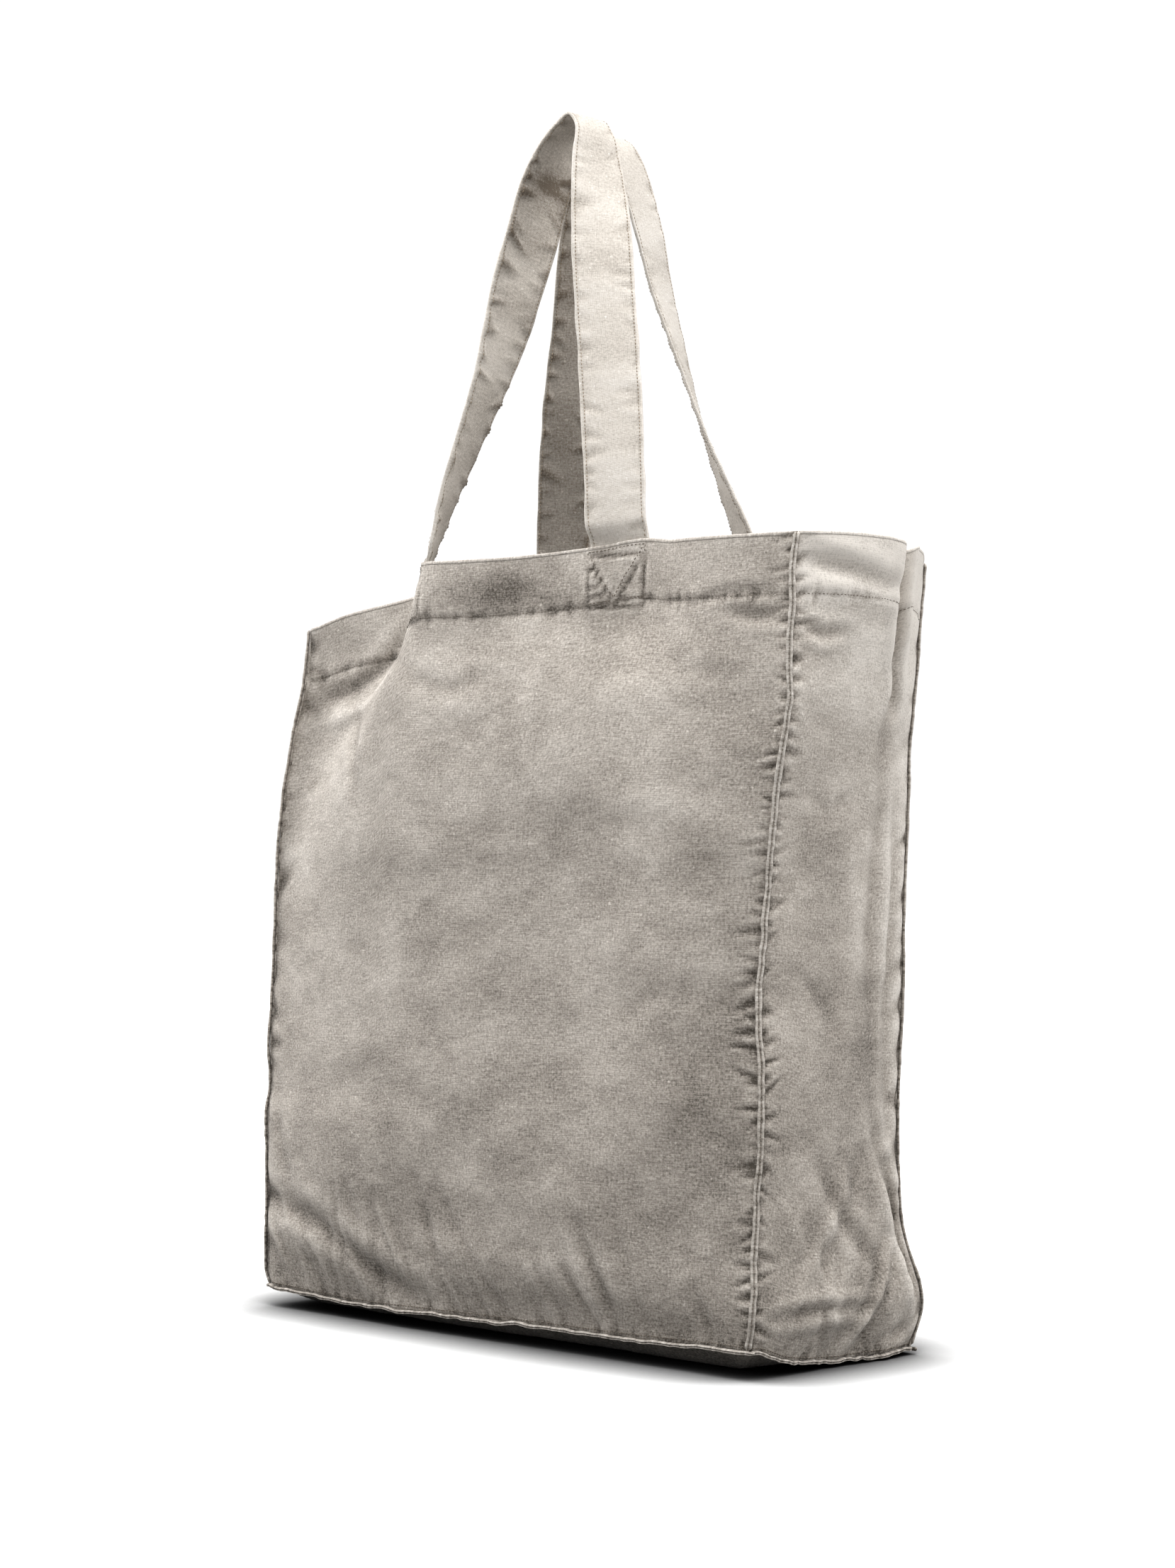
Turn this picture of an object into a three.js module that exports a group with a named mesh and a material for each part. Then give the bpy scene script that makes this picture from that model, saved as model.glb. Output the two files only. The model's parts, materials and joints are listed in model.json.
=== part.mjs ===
// A soft gusseted tote bag, standing open and filled out.
// Frame: millimetres, +Z up, +X to the bag's right, -Y towards its front, origin at the centre of the base.
// The walls are sheets that bow outwards between their corner seams. Every sheet, hem, seam and stitch row
// takes its place from the same wall surface, at a stated depth below it (or, when negative, above it).
import * as THREE from 'three';

// Bag body
const BASE_WIDTH = 400;
const BASE_DEPTH = 160;
const BAG_HEIGHT = 476;
const MOUTH_WIDTH = 420;
const MOUTH_CORNER_DEPTH = 118;
const MOUTH_LEAN = 14;
const PANEL_BELLY = 15;
const MOUTH_PANEL_BOW = 15;
const GUSSET_BELLY = 8;
const MOUTH_GUSSET_BOW = 20;

// Cloth
const PANEL_THICKNESS = 1.0;
const HEM_THICKNESS = 0.8;
const HEM_DEPTH = 36;
const CLEARANCE = 0.4;

// Raised seams where two sheets join
const SEAM_WIDTH = 4;
const SEAM_THICKNESS = 1.6;
const BASE_SEAM_HEIGHT = 1.6;

// Thread
const THREAD_WIDTH = 0.8;
const THREAD_THICKNESS = 0.5;
const HEM_STITCH_INSET = 1.4;
const HANDLE_STITCH_INSET = 1.6;
const BOX_STITCH_INSET = 1.3;

// Handles
const STRAP_WIDTH = 38;
const STRAP_THICKNESS = 2.2;
const LEG_SPACING = 154;
const HANDLE_RISE = 289;
const CROWN_RADIUS = 15;
const CROWN_GATHER = 0.92;
const CROWN_GAP = 3;
const GATHER_START = 0.6;
const PIVOT_ABOVE_RIM = 11;
const FLEX_GAP = 6;

// Mesh fineness
const PANEL_COLUMNS = 16;
const PANEL_ROWS = 14;
const GUSSET_COLUMNS = 12;
const SEAM_STEPS = 9;
const HANDLE_STEPS = 36;

const CLOTH = { color: 0x9b948a, roughness: 0.95, metalness: 0 };
const FACING = { color: 0x8b847a, roughness: 0.95, metalness: 0 };
const SEAM = { color: 0xaaa498, roughness: 0.95, metalness: 0 };
const STRAP = { color: 0xd0c9be, roughness: 0.9, metalness: 0 };
const THREAD = { color: 0x7d705f, roughness: 0.8, metalness: 0 };

const HEM_NEAR = PANEL_THICKNESS + CLEARANCE;
const HEM_FAR = HEM_NEAR + HEM_THICKNESS;
const STRAP_NEAR = HEM_FAR + CLEARANCE;
const STRAP_FAR = STRAP_NEAR + STRAP_THICKNESS;
const THREAD_NEAR = -CLEARANCE - THREAD_THICKNESS;
const MOUTH_HALF_WIDTH = MOUTH_WIDTH / 2;

const FRONT = { side: -1, gusset: false };
const BACK = { side: 1, gusset: false };
const RIGHT = { side: 1, gusset: true };
const LEFT = { side: -1, gusset: true };

const bag = new THREE.Group();

function add(name, geometry, finish) {
  const mesh = new THREE.Mesh(geometry, new THREE.MeshStandardMaterial(finish));
  mesh.name = name;
  bag.add(mesh);
}

const mix = THREE.MathUtils.lerp;

// Half sizes of the bag's outline at the four seams, and its sideways lean, at a height from 0 (base) to 1 (rim).
const halfWidth = (height) => mix(BASE_WIDTH, MOUTH_WIDTH, height) / 2;
const halfDepth = (height) => mix(BASE_DEPTH, MOUTH_CORNER_DEPTH, height) / 2;
const lean = (height) => MOUTH_LEAN * height;

// How far a wall's middle stands out from the line between its two seams.
const belly = (height) => 4 * height * (1 - height);
const panelBow = (height) => PANEL_BELLY * belly(height) + MOUTH_PANEL_BOW * height;
const gussetBow = (height) => GUSSET_BELLY * belly(height) + MOUTH_GUSSET_BOW * height ** 2;

// A point on a wall: across runs from -1 to 1 between its seams, depth goes in from its outer face.
function wallPoint(wall, across, height, depth) {
  const rounding = 1 - across ** 2;
  if (wall.gusset) {
    const out = halfWidth(height) + gussetBow(height) * rounding - depth;
    return [lean(height) + wall.side * out, across * halfDepth(height), height * BAG_HEIGHT];
  }
  const out = halfDepth(height) + panelBow(height) * rounding - depth;
  return [lean(height) + across * halfWidth(height), wall.side * out, height * BAG_HEIGHT];
}

// A box with divided faces whose points are moved to where place puts them.
function shapedBox(segments, place) {
  const geometry = new THREE.BoxGeometry(1, 1, 1, ...segments);
  const position = geometry.attributes.position;
  for (let i = 0; i < position.count; i += 1) {
    const x = position.getX(i) + 0.5;
    const y = position.getY(i) + 0.5;
    const z = position.getZ(i) + 0.5;
    position.setXYZ(i, ...place(x, y, z));
  }
  geometry.computeVertexNormals();
  return geometry;
}

// A piece of sheet on a wall, between two places across, two heights in millimetres and two depths.
function wallSheet(wall, [fromAcross, toAcross], [fromZ, toZ], [near, far], columns, rows) {
  const heightAt = (z) => mix(fromZ, toZ, z) / BAG_HEIGHT;
  const depthAt = (q) => (wall.side < 0 ? mix(near, far, q) : mix(far, near, q));
  if (wall.gusset) {
    const place = (x, y, z) => wallPoint(wall, mix(fromAcross, toAcross, y), heightAt(z), depthAt(x));
    return shapedBox([1, columns, rows], place);
  }
  const place = (x, y, z) => wallPoint(wall, mix(fromAcross, toAcross, x), heightAt(z), depthAt(y));
  return shapedBox([columns, 1, rows], place);
}

// Both ways across a wall, stopping a distance in millimetres short of its seams.
function acrossShortBy(wall, distance, height = 1) {
  const half = wall.gusset ? halfDepth(height) : halfWidth(height);
  return [-1 + distance / half, 1 - distance / half];
}

// ---- the five cloth panels ----

const PANEL_BOTTOM = PANEL_THICKNESS + CLEARANCE;
const walls = { front: FRONT, back: BACK, right: RIGHT, left: LEFT };
const sheetName = { front: 'front_panel', back: 'back_panel', right: 'right_gusset', left: 'left_gusset' };

for (const [name, wall] of Object.entries(walls)) {
  const columns = wall.gusset ? GUSSET_COLUMNS : PANEL_COLUMNS;
  const across = wall.gusset ? acrossShortBy(wall, PANEL_THICKNESS + CLEARANCE) : [-1, 1];
  const depths = [0, PANEL_THICKNESS];
  add(sheetName[name], wallSheet(wall, across, [PANEL_BOTTOM, BAG_HEIGHT], depths, columns, PANEL_ROWS), CLOTH);
}

const basePanel = new THREE.BoxGeometry(BASE_WIDTH, BASE_DEPTH, PANEL_THICKNESS);
basePanel.translate(0, 0, PANEL_THICKNESS / 2);
add('base_panel', basePanel, CLOTH);

// ---- the turned-in hem round the mouth, and the stitch row that holds it ----

const HEM_BOTTOM = BAG_HEIGHT - HEM_DEPTH;
const HEM_STITCH_Z = HEM_BOTTOM + HEM_STITCH_INSET;

for (const [name, wall] of Object.entries(walls)) {
  const columns = wall.gusset ? GUSSET_COLUMNS : PANEL_COLUMNS;
  const clearOfCorner = wall.gusset ? HEM_FAR + CLEARANCE : HEM_NEAR;
  const hemAcross = acrossShortBy(wall, clearOfCorner);
  const threadAcross = acrossShortBy(wall, SEAM_WIDTH);
  const threadZ = [HEM_STITCH_Z, HEM_STITCH_Z + THREAD_WIDTH];
  const hem = wallSheet(wall, hemAcross, [HEM_BOTTOM, BAG_HEIGHT], [HEM_NEAR, HEM_FAR], columns, 1);
  add(`${name}_hem`, hem, FACING);
  const stitches = wallSheet(wall, threadAcross, threadZ, [THREAD_NEAR, -CLEARANCE], columns, 1);
  add(`${name}_hem_stitching`, stitches, THREAD);
}

// ---- the four raised corner seams, each with its row of topstitching ----

const CORNER_SEAM_BOTTOM = BASE_SEAM_HEIGHT + SEAM_THICKNESS + THREAD_THICKNESS + 3 * CLEARANCE;

// A strip that stands outside a corner of the bag, square to the corner's diagonal.
function cornerStrip([sideX, sideY], stripWidth, fromOut, toOut) {
  const diagonal = Math.SQRT1_2;
  return shapedBox([1, 1, SEAM_STEPS], (x, y, z) => {
    const height = mix(CORNER_SEAM_BOTTOM, BAG_HEIGHT, z) / BAG_HEIGHT;
    const out = mix(fromOut, toOut, y) * diagonal;
    const along = (x - 0.5) * stripWidth * diagonal;
    return [
      lean(height) + sideX * halfWidth(height) + sideX * out + sideY * along,
      sideY * halfDepth(height) + sideY * out - sideX * along,
      height * BAG_HEIGHT,
    ];
  });
}

const corners = { front_right: [1, -1], front_left: [-1, -1], back_right: [1, 1], back_left: [-1, 1] };
const SEAM_TOP_FACE = CLEARANCE + SEAM_THICKNESS;
const SEAM_THREAD_NEAR = SEAM_TOP_FACE + CLEARANCE;

for (const [name, corner] of Object.entries(corners)) {
  add(`${name}_seam`, cornerStrip(corner, SEAM_WIDTH, CLEARANCE, SEAM_TOP_FACE), SEAM);
  const thread = cornerStrip(corner, THREAD_WIDTH, SEAM_THREAD_NEAR, SEAM_THREAD_NEAR + THREAD_THICKNESS);
  add(`${name}_seam_stitching`, thread, THREAD);
}

// ---- the raised seams round the base, whose front and back ones end in small corner tabs ----

for (const [name, wall] of Object.entries(walls)) {
  const cornerTab = wall.gusset ? 0 : CLEARANCE + SEAM_WIDTH;
  const across = acrossShortBy(wall, -cornerTab, 0);
  const seamZ = [BASE_SEAM_HEIGHT, BASE_SEAM_HEIGHT + SEAM_THICKNESS];
  const threadZ = [seamZ[1] + CLEARANCE, seamZ[1] + CLEARANCE + THREAD_THICKNESS];
  const seamDepths = [-CLEARANCE - SEAM_WIDTH, -CLEARANCE];
  const threadMiddle = -CLEARANCE - SEAM_WIDTH / 2;
  const threadDepths = [threadMiddle - THREAD_WIDTH / 2, threadMiddle + THREAD_WIDTH / 2];
  const threadAcross = acrossShortBy(wall, SEAM_WIDTH, 0);
  const columns = wall.gusset ? GUSSET_COLUMNS : PANEL_COLUMNS;
  add(`base_${name}_seam`, wallSheet(wall, across, seamZ, seamDepths, columns, 1), SEAM);
  const stitches = wallSheet(wall, threadAcross, threadZ, threadDepths, columns, 1);
  add(`base_${name}_seam_stitching`, stitches, THREAD);
}

// ---- the handle ends, sewn to the inside of the hem with a box and a V ----
// They stop short of the loops' feet by the bare length in which a strap bends as its loop swings down.

const PIVOT_Z = BAG_HEIGHT + PIVOT_ABOVE_RIM;
const END_TOP = PIVOT_Z - FLEX_GAP;
const END_BOTTOM = HEM_BOTTOM + HEM_STITCH_INSET + THREAD_WIDTH;
const BOX_WIDTH = STRAP_WIDTH - 2 * BOX_STITCH_INSET;
const BOX_BOTTOM = HEM_STITCH_Z + THREAD_WIDTH + CLEARANCE;
const BOX_TOP = BAG_HEIGHT - BOX_STITCH_INSET;

// The three triangles between the box's sides and the V that runs from its top corners to its bottom centre.
function boxOpenings() {
  const right = BOX_WIDTH / 2 - THREAD_WIDTH;
  const bottom = THREAD_WIDTH;
  const top = BOX_TOP - BOX_BOTTOM - THREAD_WIDTH;
  const steepness = (top - bottom) / right;
  const armWidth = THREAD_WIDTH * Math.hypot(1, steepness) / steepness;
  const armHeight = armWidth * steepness;
  const foot = bottom + THREAD_WIDTH / 4;
  return [
    [[armWidth - right, top], [right - armWidth, top], [0, bottom + armHeight]],
    [[-right, top - armHeight], [-armWidth / 2, foot], [-right, bottom]],
    [[right, top - armHeight], [right, bottom], [armWidth / 2, foot]],
  ];
}

function boxStitching(wall, legAcross) {
  const height = BOX_TOP - BOX_BOTTOM;
  const half = BOX_WIDTH / 2;
  const toVectors = (points) => points.map(([x, y]) => new THREE.Vector2(x, y));
  const outline = new THREE.Shape(toVectors([[-half, 0], [half, 0], [half, height], [-half, height]]));
  outline.holes = boxOpenings().map((triangle) => new THREE.Path(toVectors(triangle)));
  const geometry = new THREE.ExtrudeGeometry(outline, { depth: THREAD_THICKNESS, bevelEnabled: false });
  const position = geometry.attributes.position;
  for (let i = 0; i < position.count; i += 1) {
    const across = legAcross - wall.side * position.getX(i) / MOUTH_HALF_WIDTH;
    const level = (BOX_BOTTOM + position.getY(i)) / BAG_HEIGHT;
    const depth = -CLEARANCE - THREAD_THICKNESS / 2 - position.getZ(i);
    position.setXYZ(i, ...wallPoint(wall, across, level, depth));
  }
  geometry.computeVertexNormals();
  return geometry;
}

for (const [name, wall] of [['front', FRONT], ['back', BACK]]) {
  for (const [sideName, sideX] of [['left', -1], ['right', 1]]) {
    const leg = sideX * LEG_SPACING / 2;
    const across = [leg - STRAP_WIDTH / 2, leg + STRAP_WIDTH / 2].map((x) => x / MOUTH_HALF_WIDTH);
    const zRange = [END_BOTTOM, END_TOP];
    add(`${name}_handle_${sideName}_end`, wallSheet(wall, across, zRange, [STRAP_NEAR, STRAP_FAR], 2, 2), STRAP);
    add(`${name}_${sideName}_box_stitching`, boxStitching(wall, leg / MOUTH_HALF_WIDTH), THREAD);
  }
}

// ---- the two handle loops, which lean towards each other and turn a half turn from leg to leg ----

const LOOP_BOTTOM = PIVOT_Z + CLEARANCE;
const CROWN_Z = BAG_HEIGHT + HANDLE_RISE;

// The loop's outline seen from the front: two straight legs that meet a round crown.
function loopOutline() {
  const centreRise = CROWN_Z - CROWN_RADIUS - LOOP_BOTTOM;
  const half = LEG_SPACING / 2;
  const tilt = Math.atan2(half, centreRise) - Math.asin(CROWN_RADIUS / Math.hypot(half, centreRise));
  const path = new THREE.Path();
  path.moveTo(-half, 0);
  path.lineTo(-CROWN_RADIUS * Math.cos(tilt), centreRise + CROWN_RADIUS * Math.sin(tilt));
  path.absarc(0, centreRise, CROWN_RADIUS, Math.PI - tilt, tilt, true);
  path.lineTo(half, 0);
  return path;
}

const outline = loopOutline();

// Where a loop's middle line is and how the strap lies there, at a share s of its length from the left leg's foot.
function loopFrame(side, s) {
  const legMiddle = wallPoint(FRONT, LEG_SPACING / MOUTH_WIDTH, 1, (STRAP_NEAR + STRAP_FAR) / 2)[1];
  const footY = -side * legMiddle;
  const crownY = side * (STRAP_WIDTH * CROWN_GATHER + CROWN_GAP) / 2;
  const flat = outline.getPointAt(s);
  const slope = outline.getTangentAt(s);
  const inwards = (crownY - footY) / (CROWN_Z - LOOP_BOTTOM);
  const centre = new THREE.Vector3(lean(1) + flat.x, footY + inwards * flat.y, LOOP_BOTTOM + flat.y);
  const along = new THREE.Vector3(slope.x, inwards * slope.y, slope.y).normalize();
  const nearCrown = 1 - Math.abs(2 * s - 1);
  const legTurn = (Math.PI / 2) * THREE.MathUtils.smoothstep(nearCrown, 0, 1);
  const turn = side * (s < 0.5 ? legTurn : Math.PI - legTurn);
  const across = new THREE.Vector3(Math.cos(turn), Math.sin(turn), 0);
  const through = new THREE.Vector3().crossVectors(along, across).normalize();
  const gather = mix(1, CROWN_GATHER, THREE.MathUtils.smoothstep(nearCrown, GATHER_START, 1));
  return { centre, across, through, gather };
}

// A strip that follows a loop, between two places across the strap and two through its thickness.
function loopStrip(side, [fromAcross, toAcross], [fromThrough, toThrough], [fromS, toS]) {
  return shapedBox([1, 1, HANDLE_STEPS], (x, y, z) => {
    const { centre, across, through, gather } = loopFrame(side, mix(fromS, toS, z));
    const point = centre.clone();
    point.addScaledVector(across, mix(fromAcross, toAcross, x) * gather);
    point.addScaledVector(through, mix(fromThrough, toThrough, y));
    return point.toArray();
  });
}

for (const [name, side] of [['front', -1], ['back', 1]]) {
  const half = STRAP_WIDTH / 2;
  const halfThick = STRAP_THICKNESS / 2;
  add(`${name}_handle`, loopStrip(side, [-half, half], [-halfThick, halfThick], [0, 1]), STRAP);
  const threadFrom = side * (halfThick + CLEARANCE);
  const threadTo = side * (halfThick + CLEARANCE + THREAD_THICKNESS);
  const through = [Math.min(threadFrom, threadTo), Math.max(threadFrom, threadTo)];
  for (const [rowName, rowSide] of [['inner', -1], ['outer', 1]]) {
    const middle = rowSide * (half - HANDLE_STITCH_INSET);
    const across = [middle - THREAD_WIDTH / 2, middle + THREAD_WIDTH / 2];
    add(`${name}_handle_${rowName}_stitching`, loopStrip(side, across, through, [0, 1]), THREAD);
  }
}

export default bag;
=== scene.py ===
"""A gusseted tote bag in garment-washed linen canvas, standing open with its two long handles held up.

Lengths inside the classes are in millimetres, in the frame of the CAD model. They become metres when a
mesh is made.
"""

import json
import logging
import math
from collections.abc import Callable, Sequence
from dataclasses import dataclass, field
from enum import Enum

import bpy
import numpy as np
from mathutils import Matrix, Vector

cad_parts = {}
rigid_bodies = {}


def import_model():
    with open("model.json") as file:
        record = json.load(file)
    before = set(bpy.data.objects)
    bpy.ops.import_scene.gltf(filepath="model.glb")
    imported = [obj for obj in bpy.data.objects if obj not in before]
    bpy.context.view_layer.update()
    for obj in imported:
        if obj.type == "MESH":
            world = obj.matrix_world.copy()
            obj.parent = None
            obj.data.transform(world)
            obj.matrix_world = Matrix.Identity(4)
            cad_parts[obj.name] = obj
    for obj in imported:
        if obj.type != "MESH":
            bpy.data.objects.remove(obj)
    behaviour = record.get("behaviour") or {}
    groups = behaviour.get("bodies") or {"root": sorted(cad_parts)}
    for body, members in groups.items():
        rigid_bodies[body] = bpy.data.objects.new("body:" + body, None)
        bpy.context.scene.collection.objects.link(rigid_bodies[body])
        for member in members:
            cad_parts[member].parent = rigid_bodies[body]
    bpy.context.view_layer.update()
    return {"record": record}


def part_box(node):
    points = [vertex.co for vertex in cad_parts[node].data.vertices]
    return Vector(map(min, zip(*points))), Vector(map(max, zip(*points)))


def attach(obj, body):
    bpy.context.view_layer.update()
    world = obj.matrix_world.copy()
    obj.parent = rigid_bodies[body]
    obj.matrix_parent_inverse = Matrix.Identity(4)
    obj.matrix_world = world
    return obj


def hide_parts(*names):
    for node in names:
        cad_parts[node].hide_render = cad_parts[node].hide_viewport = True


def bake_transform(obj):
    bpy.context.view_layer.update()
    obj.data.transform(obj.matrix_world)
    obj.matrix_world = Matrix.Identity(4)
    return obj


MM = 0.001
LOG = logging.getLogger("tote")
BAG_BODY = "bag"
CLOTH_THICKNESS = 0.8
HEM_STITCH_INSET = 1.4
PathReader = Callable[[np.ndarray], tuple[np.ndarray, np.ndarray]]


# ---------------------------------------------------------------- smooth functions that shape cloth


def ease(x: np.ndarray, low: float, high: float) -> np.ndarray:
    """Rises smoothly from 0 at low to 1 at high.

    Args:
        x: Where to read it.
        low: Where the rise starts.
        high: Where it ends.

    Returns:
        The value at each x.
    """
    t = np.clip((np.asarray(x, float) - low) / (high - low), 0.0, 1.0)
    return t * t * (3.0 - 2.0 * t)


def hump(x: np.ndarray, centre: float, width: float) -> np.ndarray:
    """A round hill of height 1 at centre.

    Args:
        x: Where to read it.
        centre: Where the top is.
        width: Distance over which it falls away.

    Returns:
        The height at each x.
    """
    return np.exp(-(((np.asarray(x, float) - centre) / width) ** 2))


def through(x: np.ndarray, knots: Sequence[tuple[float, float]]) -> np.ndarray:
    """A smooth curve through knots, level at the first and the last.

    Args:
        x: Where to read the curve.
        knots: Pairs of place and value, in order of place.

    Returns:
        The curve's value at each x.
    """
    place = np.array([k[0] for k in knots], float)
    value = np.array([k[1] for k in knots], float)
    gap = np.diff(place)
    rise = np.diff(value) / gap
    slope = np.zeros_like(value)
    same_way = rise[:-1] * rise[1:] > 0
    slope[1:-1][same_way] = (2 * rise[:-1] * rise[1:] / (rise[:-1] + rise[1:] + 1e-12))[same_way]
    x = np.clip(np.asarray(x, float), place[0], place[-1])
    i = np.clip(np.searchsorted(place, x, side="right") - 1, 0, len(gap) - 1)
    t = (x - place[i]) / gap[i]
    start = (1 + 2 * t) * (1 - t) ** 2 * value[i] + t * (1 - t) ** 2 * gap[i] * slope[i]
    finish = t * t * (3 - 2 * t) * value[i + 1] + t * t * (t - 1) * gap[i] * slope[i + 1]
    return start + finish


def run_length(points: np.ndarray) -> np.ndarray:
    """Distance along a line of points.

    Args:
        points: The line, one point a row.

    Returns:
        The distance from the first point to each.
    """
    return np.concatenate([[0], np.cumsum(np.linalg.norm(np.diff(points, axis=0), axis=1))])


def read_line(where: np.ndarray, steps: np.ndarray, line: np.ndarray) -> np.ndarray:
    """Reads a line of points or directions between its stations.

    Args:
        where: Distances to read it at.
        steps: Distance of each station.
        line: The value at each station, one a row.

    Returns:
        The value at each distance.
    """
    return np.stack([np.interp(where, steps, line[:, k]) for k in range(3)], axis=-1)


def cloud(x: np.ndarray, y: np.ndarray, size: float, seed: int) -> np.ndarray:
    """Soft random hills between -1 and 1.

    Args:
        x: First coordinate.
        y: Second coordinate.
        size: Distance between neighbouring hills.
        seed: Picks the pattern.

    Returns:
        The height at each point.
    """
    cells = 64
    table = np.random.default_rng(seed).uniform(-1.0, 1.0, (cells, cells))
    gx = np.asarray(x, float) / size + 17.3
    gy = np.asarray(y, float) / size + 29.1
    ix = np.floor(gx).astype(int)
    iy = np.floor(gy).astype(int)
    tx = gx - ix
    ty = gy - iy
    tx = tx**3 * (tx * (6 * tx - 15) + 10)
    ty = ty**3 * (ty * (6 * ty - 15) + 10)
    a = table[ix % cells, iy % cells]
    b = table[(ix + 1) % cells, iy % cells]
    c = table[ix % cells, (iy + 1) % cells]
    d = table[(ix + 1) % cells, (iy + 1) % cells]
    return (a * (1 - tx) + b * tx) * (1 - ty) + (c * (1 - tx) + d * tx) * ty


def gathers(along: np.ndarray, away: np.ndarray, period: float, reach: float, seed: int) -> np.ndarray:
    """Short wedge-shaped creases that start at a row of stitches, from -1 in a crease to about 0.3 beside it.

    Args:
        along: Distance along the stitches.
        away: Distance from them, 0 or more.
        period: Mean distance from one crease to the next.
        reach: Mean length of a crease.
        seed: Picks the pattern.

    Returns:
        The height at each point.
    """
    along, away = np.broadcast_arrays(np.asarray(along, float), np.asarray(away, float))
    rng = np.random.default_rng(seed)
    places = np.arange(-280.0, 820.0, period)
    count = len(places)
    places = places + rng.uniform(-0.38, 0.38, count) * period
    widths = rng.uniform(0.15, 0.36, count) * period
    lengths = reach * rng.uniform(0.45, 1.7, count)
    depths = rng.uniform(0.25, 1.0, count)
    slants = rng.normal(0.0, 0.3, count)
    low, high = along.min() - 2 * period, along.max() + 2 * period
    height = np.zeros(along.shape)
    near = away < 2.0 * reach
    near_along, near_away = along[near], away[near]
    rise = np.zeros(near_along.shape)
    for place, width, length, depth, slant in zip(places, widths, lengths, depths, slants):
        if not low < place < high:
            continue
        share = np.clip(near_away / length, 0.0, 1.0)
        offset = (near_along - place - slant * near_away) / (width * (1.0 - 0.55 * share))
        fade = (1.0 - share * share) ** 2
        rise += depth * fade * (0.28 * np.exp(-((np.abs(offset) - 2.3) ** 2)) - np.exp(-offset * offset))
    height[near] = rise
    return height


# ---------------------------------------------------------------- the shape of the filled bag


class Wall(Enum):
    """The bag's four upright walls."""

    FRONT = "front"
    BACK = "back"
    RIGHT = "right"
    LEFT = "left"

    @property
    def is_gusset(self) -> bool:
        """Whether the wall is one of the two narrow ones.

        Returns:
            True on the left and right.
        """
        return self in (Wall.RIGHT, Wall.LEFT)

    @property
    def corners(self) -> tuple[str, str]:
        """The corner seams where the wall starts and ends, in the direction of +X or +Y.

        Returns:
            The two seams' names.
        """
        return {
            Wall.FRONT: ("front_left", "front_right"),
            Wall.BACK: ("back_left", "back_right"),
            Wall.RIGHT: ("front_right", "back_right"),
            Wall.LEFT: ("front_left", "back_left"),
        }[self]

    @property
    def outward(self) -> np.ndarray:
        """The way out of the bag through this wall.

        Returns:
            A direction of length 1.
        """
        return {
            Wall.FRONT: np.array([0.0, -1.0, 0.0]),
            Wall.BACK: np.array([0.0, 1.0, 0.0]),
            Wall.RIGHT: np.array([1.0, 0.0, 0.0]),
            Wall.LEFT: np.array([-1.0, 0.0, 0.0]),
        }[self]


@dataclass(frozen=True)
class Crease:
    """A fold that runs along a line on a wall.

    Attributes:
        points: The line, as pairs of place across the wall and height.
        height: How far it stands out, or in when negative.
        width: Half its width.
        lip: Height of the soft swelling beside it, as a share of its height.
    """

    points: tuple[tuple[float, float], ...]
    height: float
    width: float
    lip: float = 0.35

    def rise(self, across: np.ndarray, z: np.ndarray) -> np.ndarray:
        """How far the crease moves the cloth out at each point of a wall.

        Args:
            across: Place across the wall.
            z: Height.

        Returns:
            The move at each point.
        """
        best = np.full(np.shape(across), 1e9)
        share = np.zeros(np.shape(across))
        lengths = [math.dist(a, b) for a, b in zip(self.points, self.points[1:])]
        whole = sum(lengths)
        done = 0.0
        for (ax, az), (bx, bz), length in zip(self.points, self.points[1:], lengths):
            t = ((across - ax) * (bx - ax) + (z - az) * (bz - az)) / length**2
            t = np.clip(t, 0.0, 1.0)
            distance = np.hypot(across - ax - t * (bx - ax), z - az - t * (bz - az))
            nearer = distance < best
            best = np.where(nearer, distance, best)
            share = np.where(nearer, (done + t * length) / whole, share)
            done += length
        fade = np.sin(np.pi * np.clip(0.06 + 0.88 * share, 0.0, 1.0)) ** 0.7
        core = np.exp(-((best / self.width) ** 2))
        side = np.exp(-(((best - 2.1 * self.width) / (1.2 * self.width)) ** 2))
        return self.height * fade * (core - self.lip * side)


def random_drags(seed: int, count: int, low: float, high: float, base: float, lean: float) -> list[Crease]:
    """Thin pull lines that rise from a base seam.

    Args:
        seed: Picks the lines.
        count: How many there are.
        low: Where the seam starts.
        high: Where it ends.
        base: Height of the seam.
        lean: How far the lines lean sideways for each unit of rise.

    Returns:
        The lines as shallow creases.
    """
    rng = np.random.default_rng(seed)
    drags = []
    for _ in range(count):
        start = rng.uniform(low, high)
        length = rng.uniform(22.0, 90.0)
        slant = lean + rng.normal(0.0, 0.28)
        top = (start + slant * length, base + length)
        height = rng.uniform(0.5, 1.3) * rng.choice([-1.0, 1.0], p=[0.65, 0.35])
        drags.append(Crease(((start, base - 6.0), top), height, rng.uniform(2.0, 4.6)))
    return drags


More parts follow.
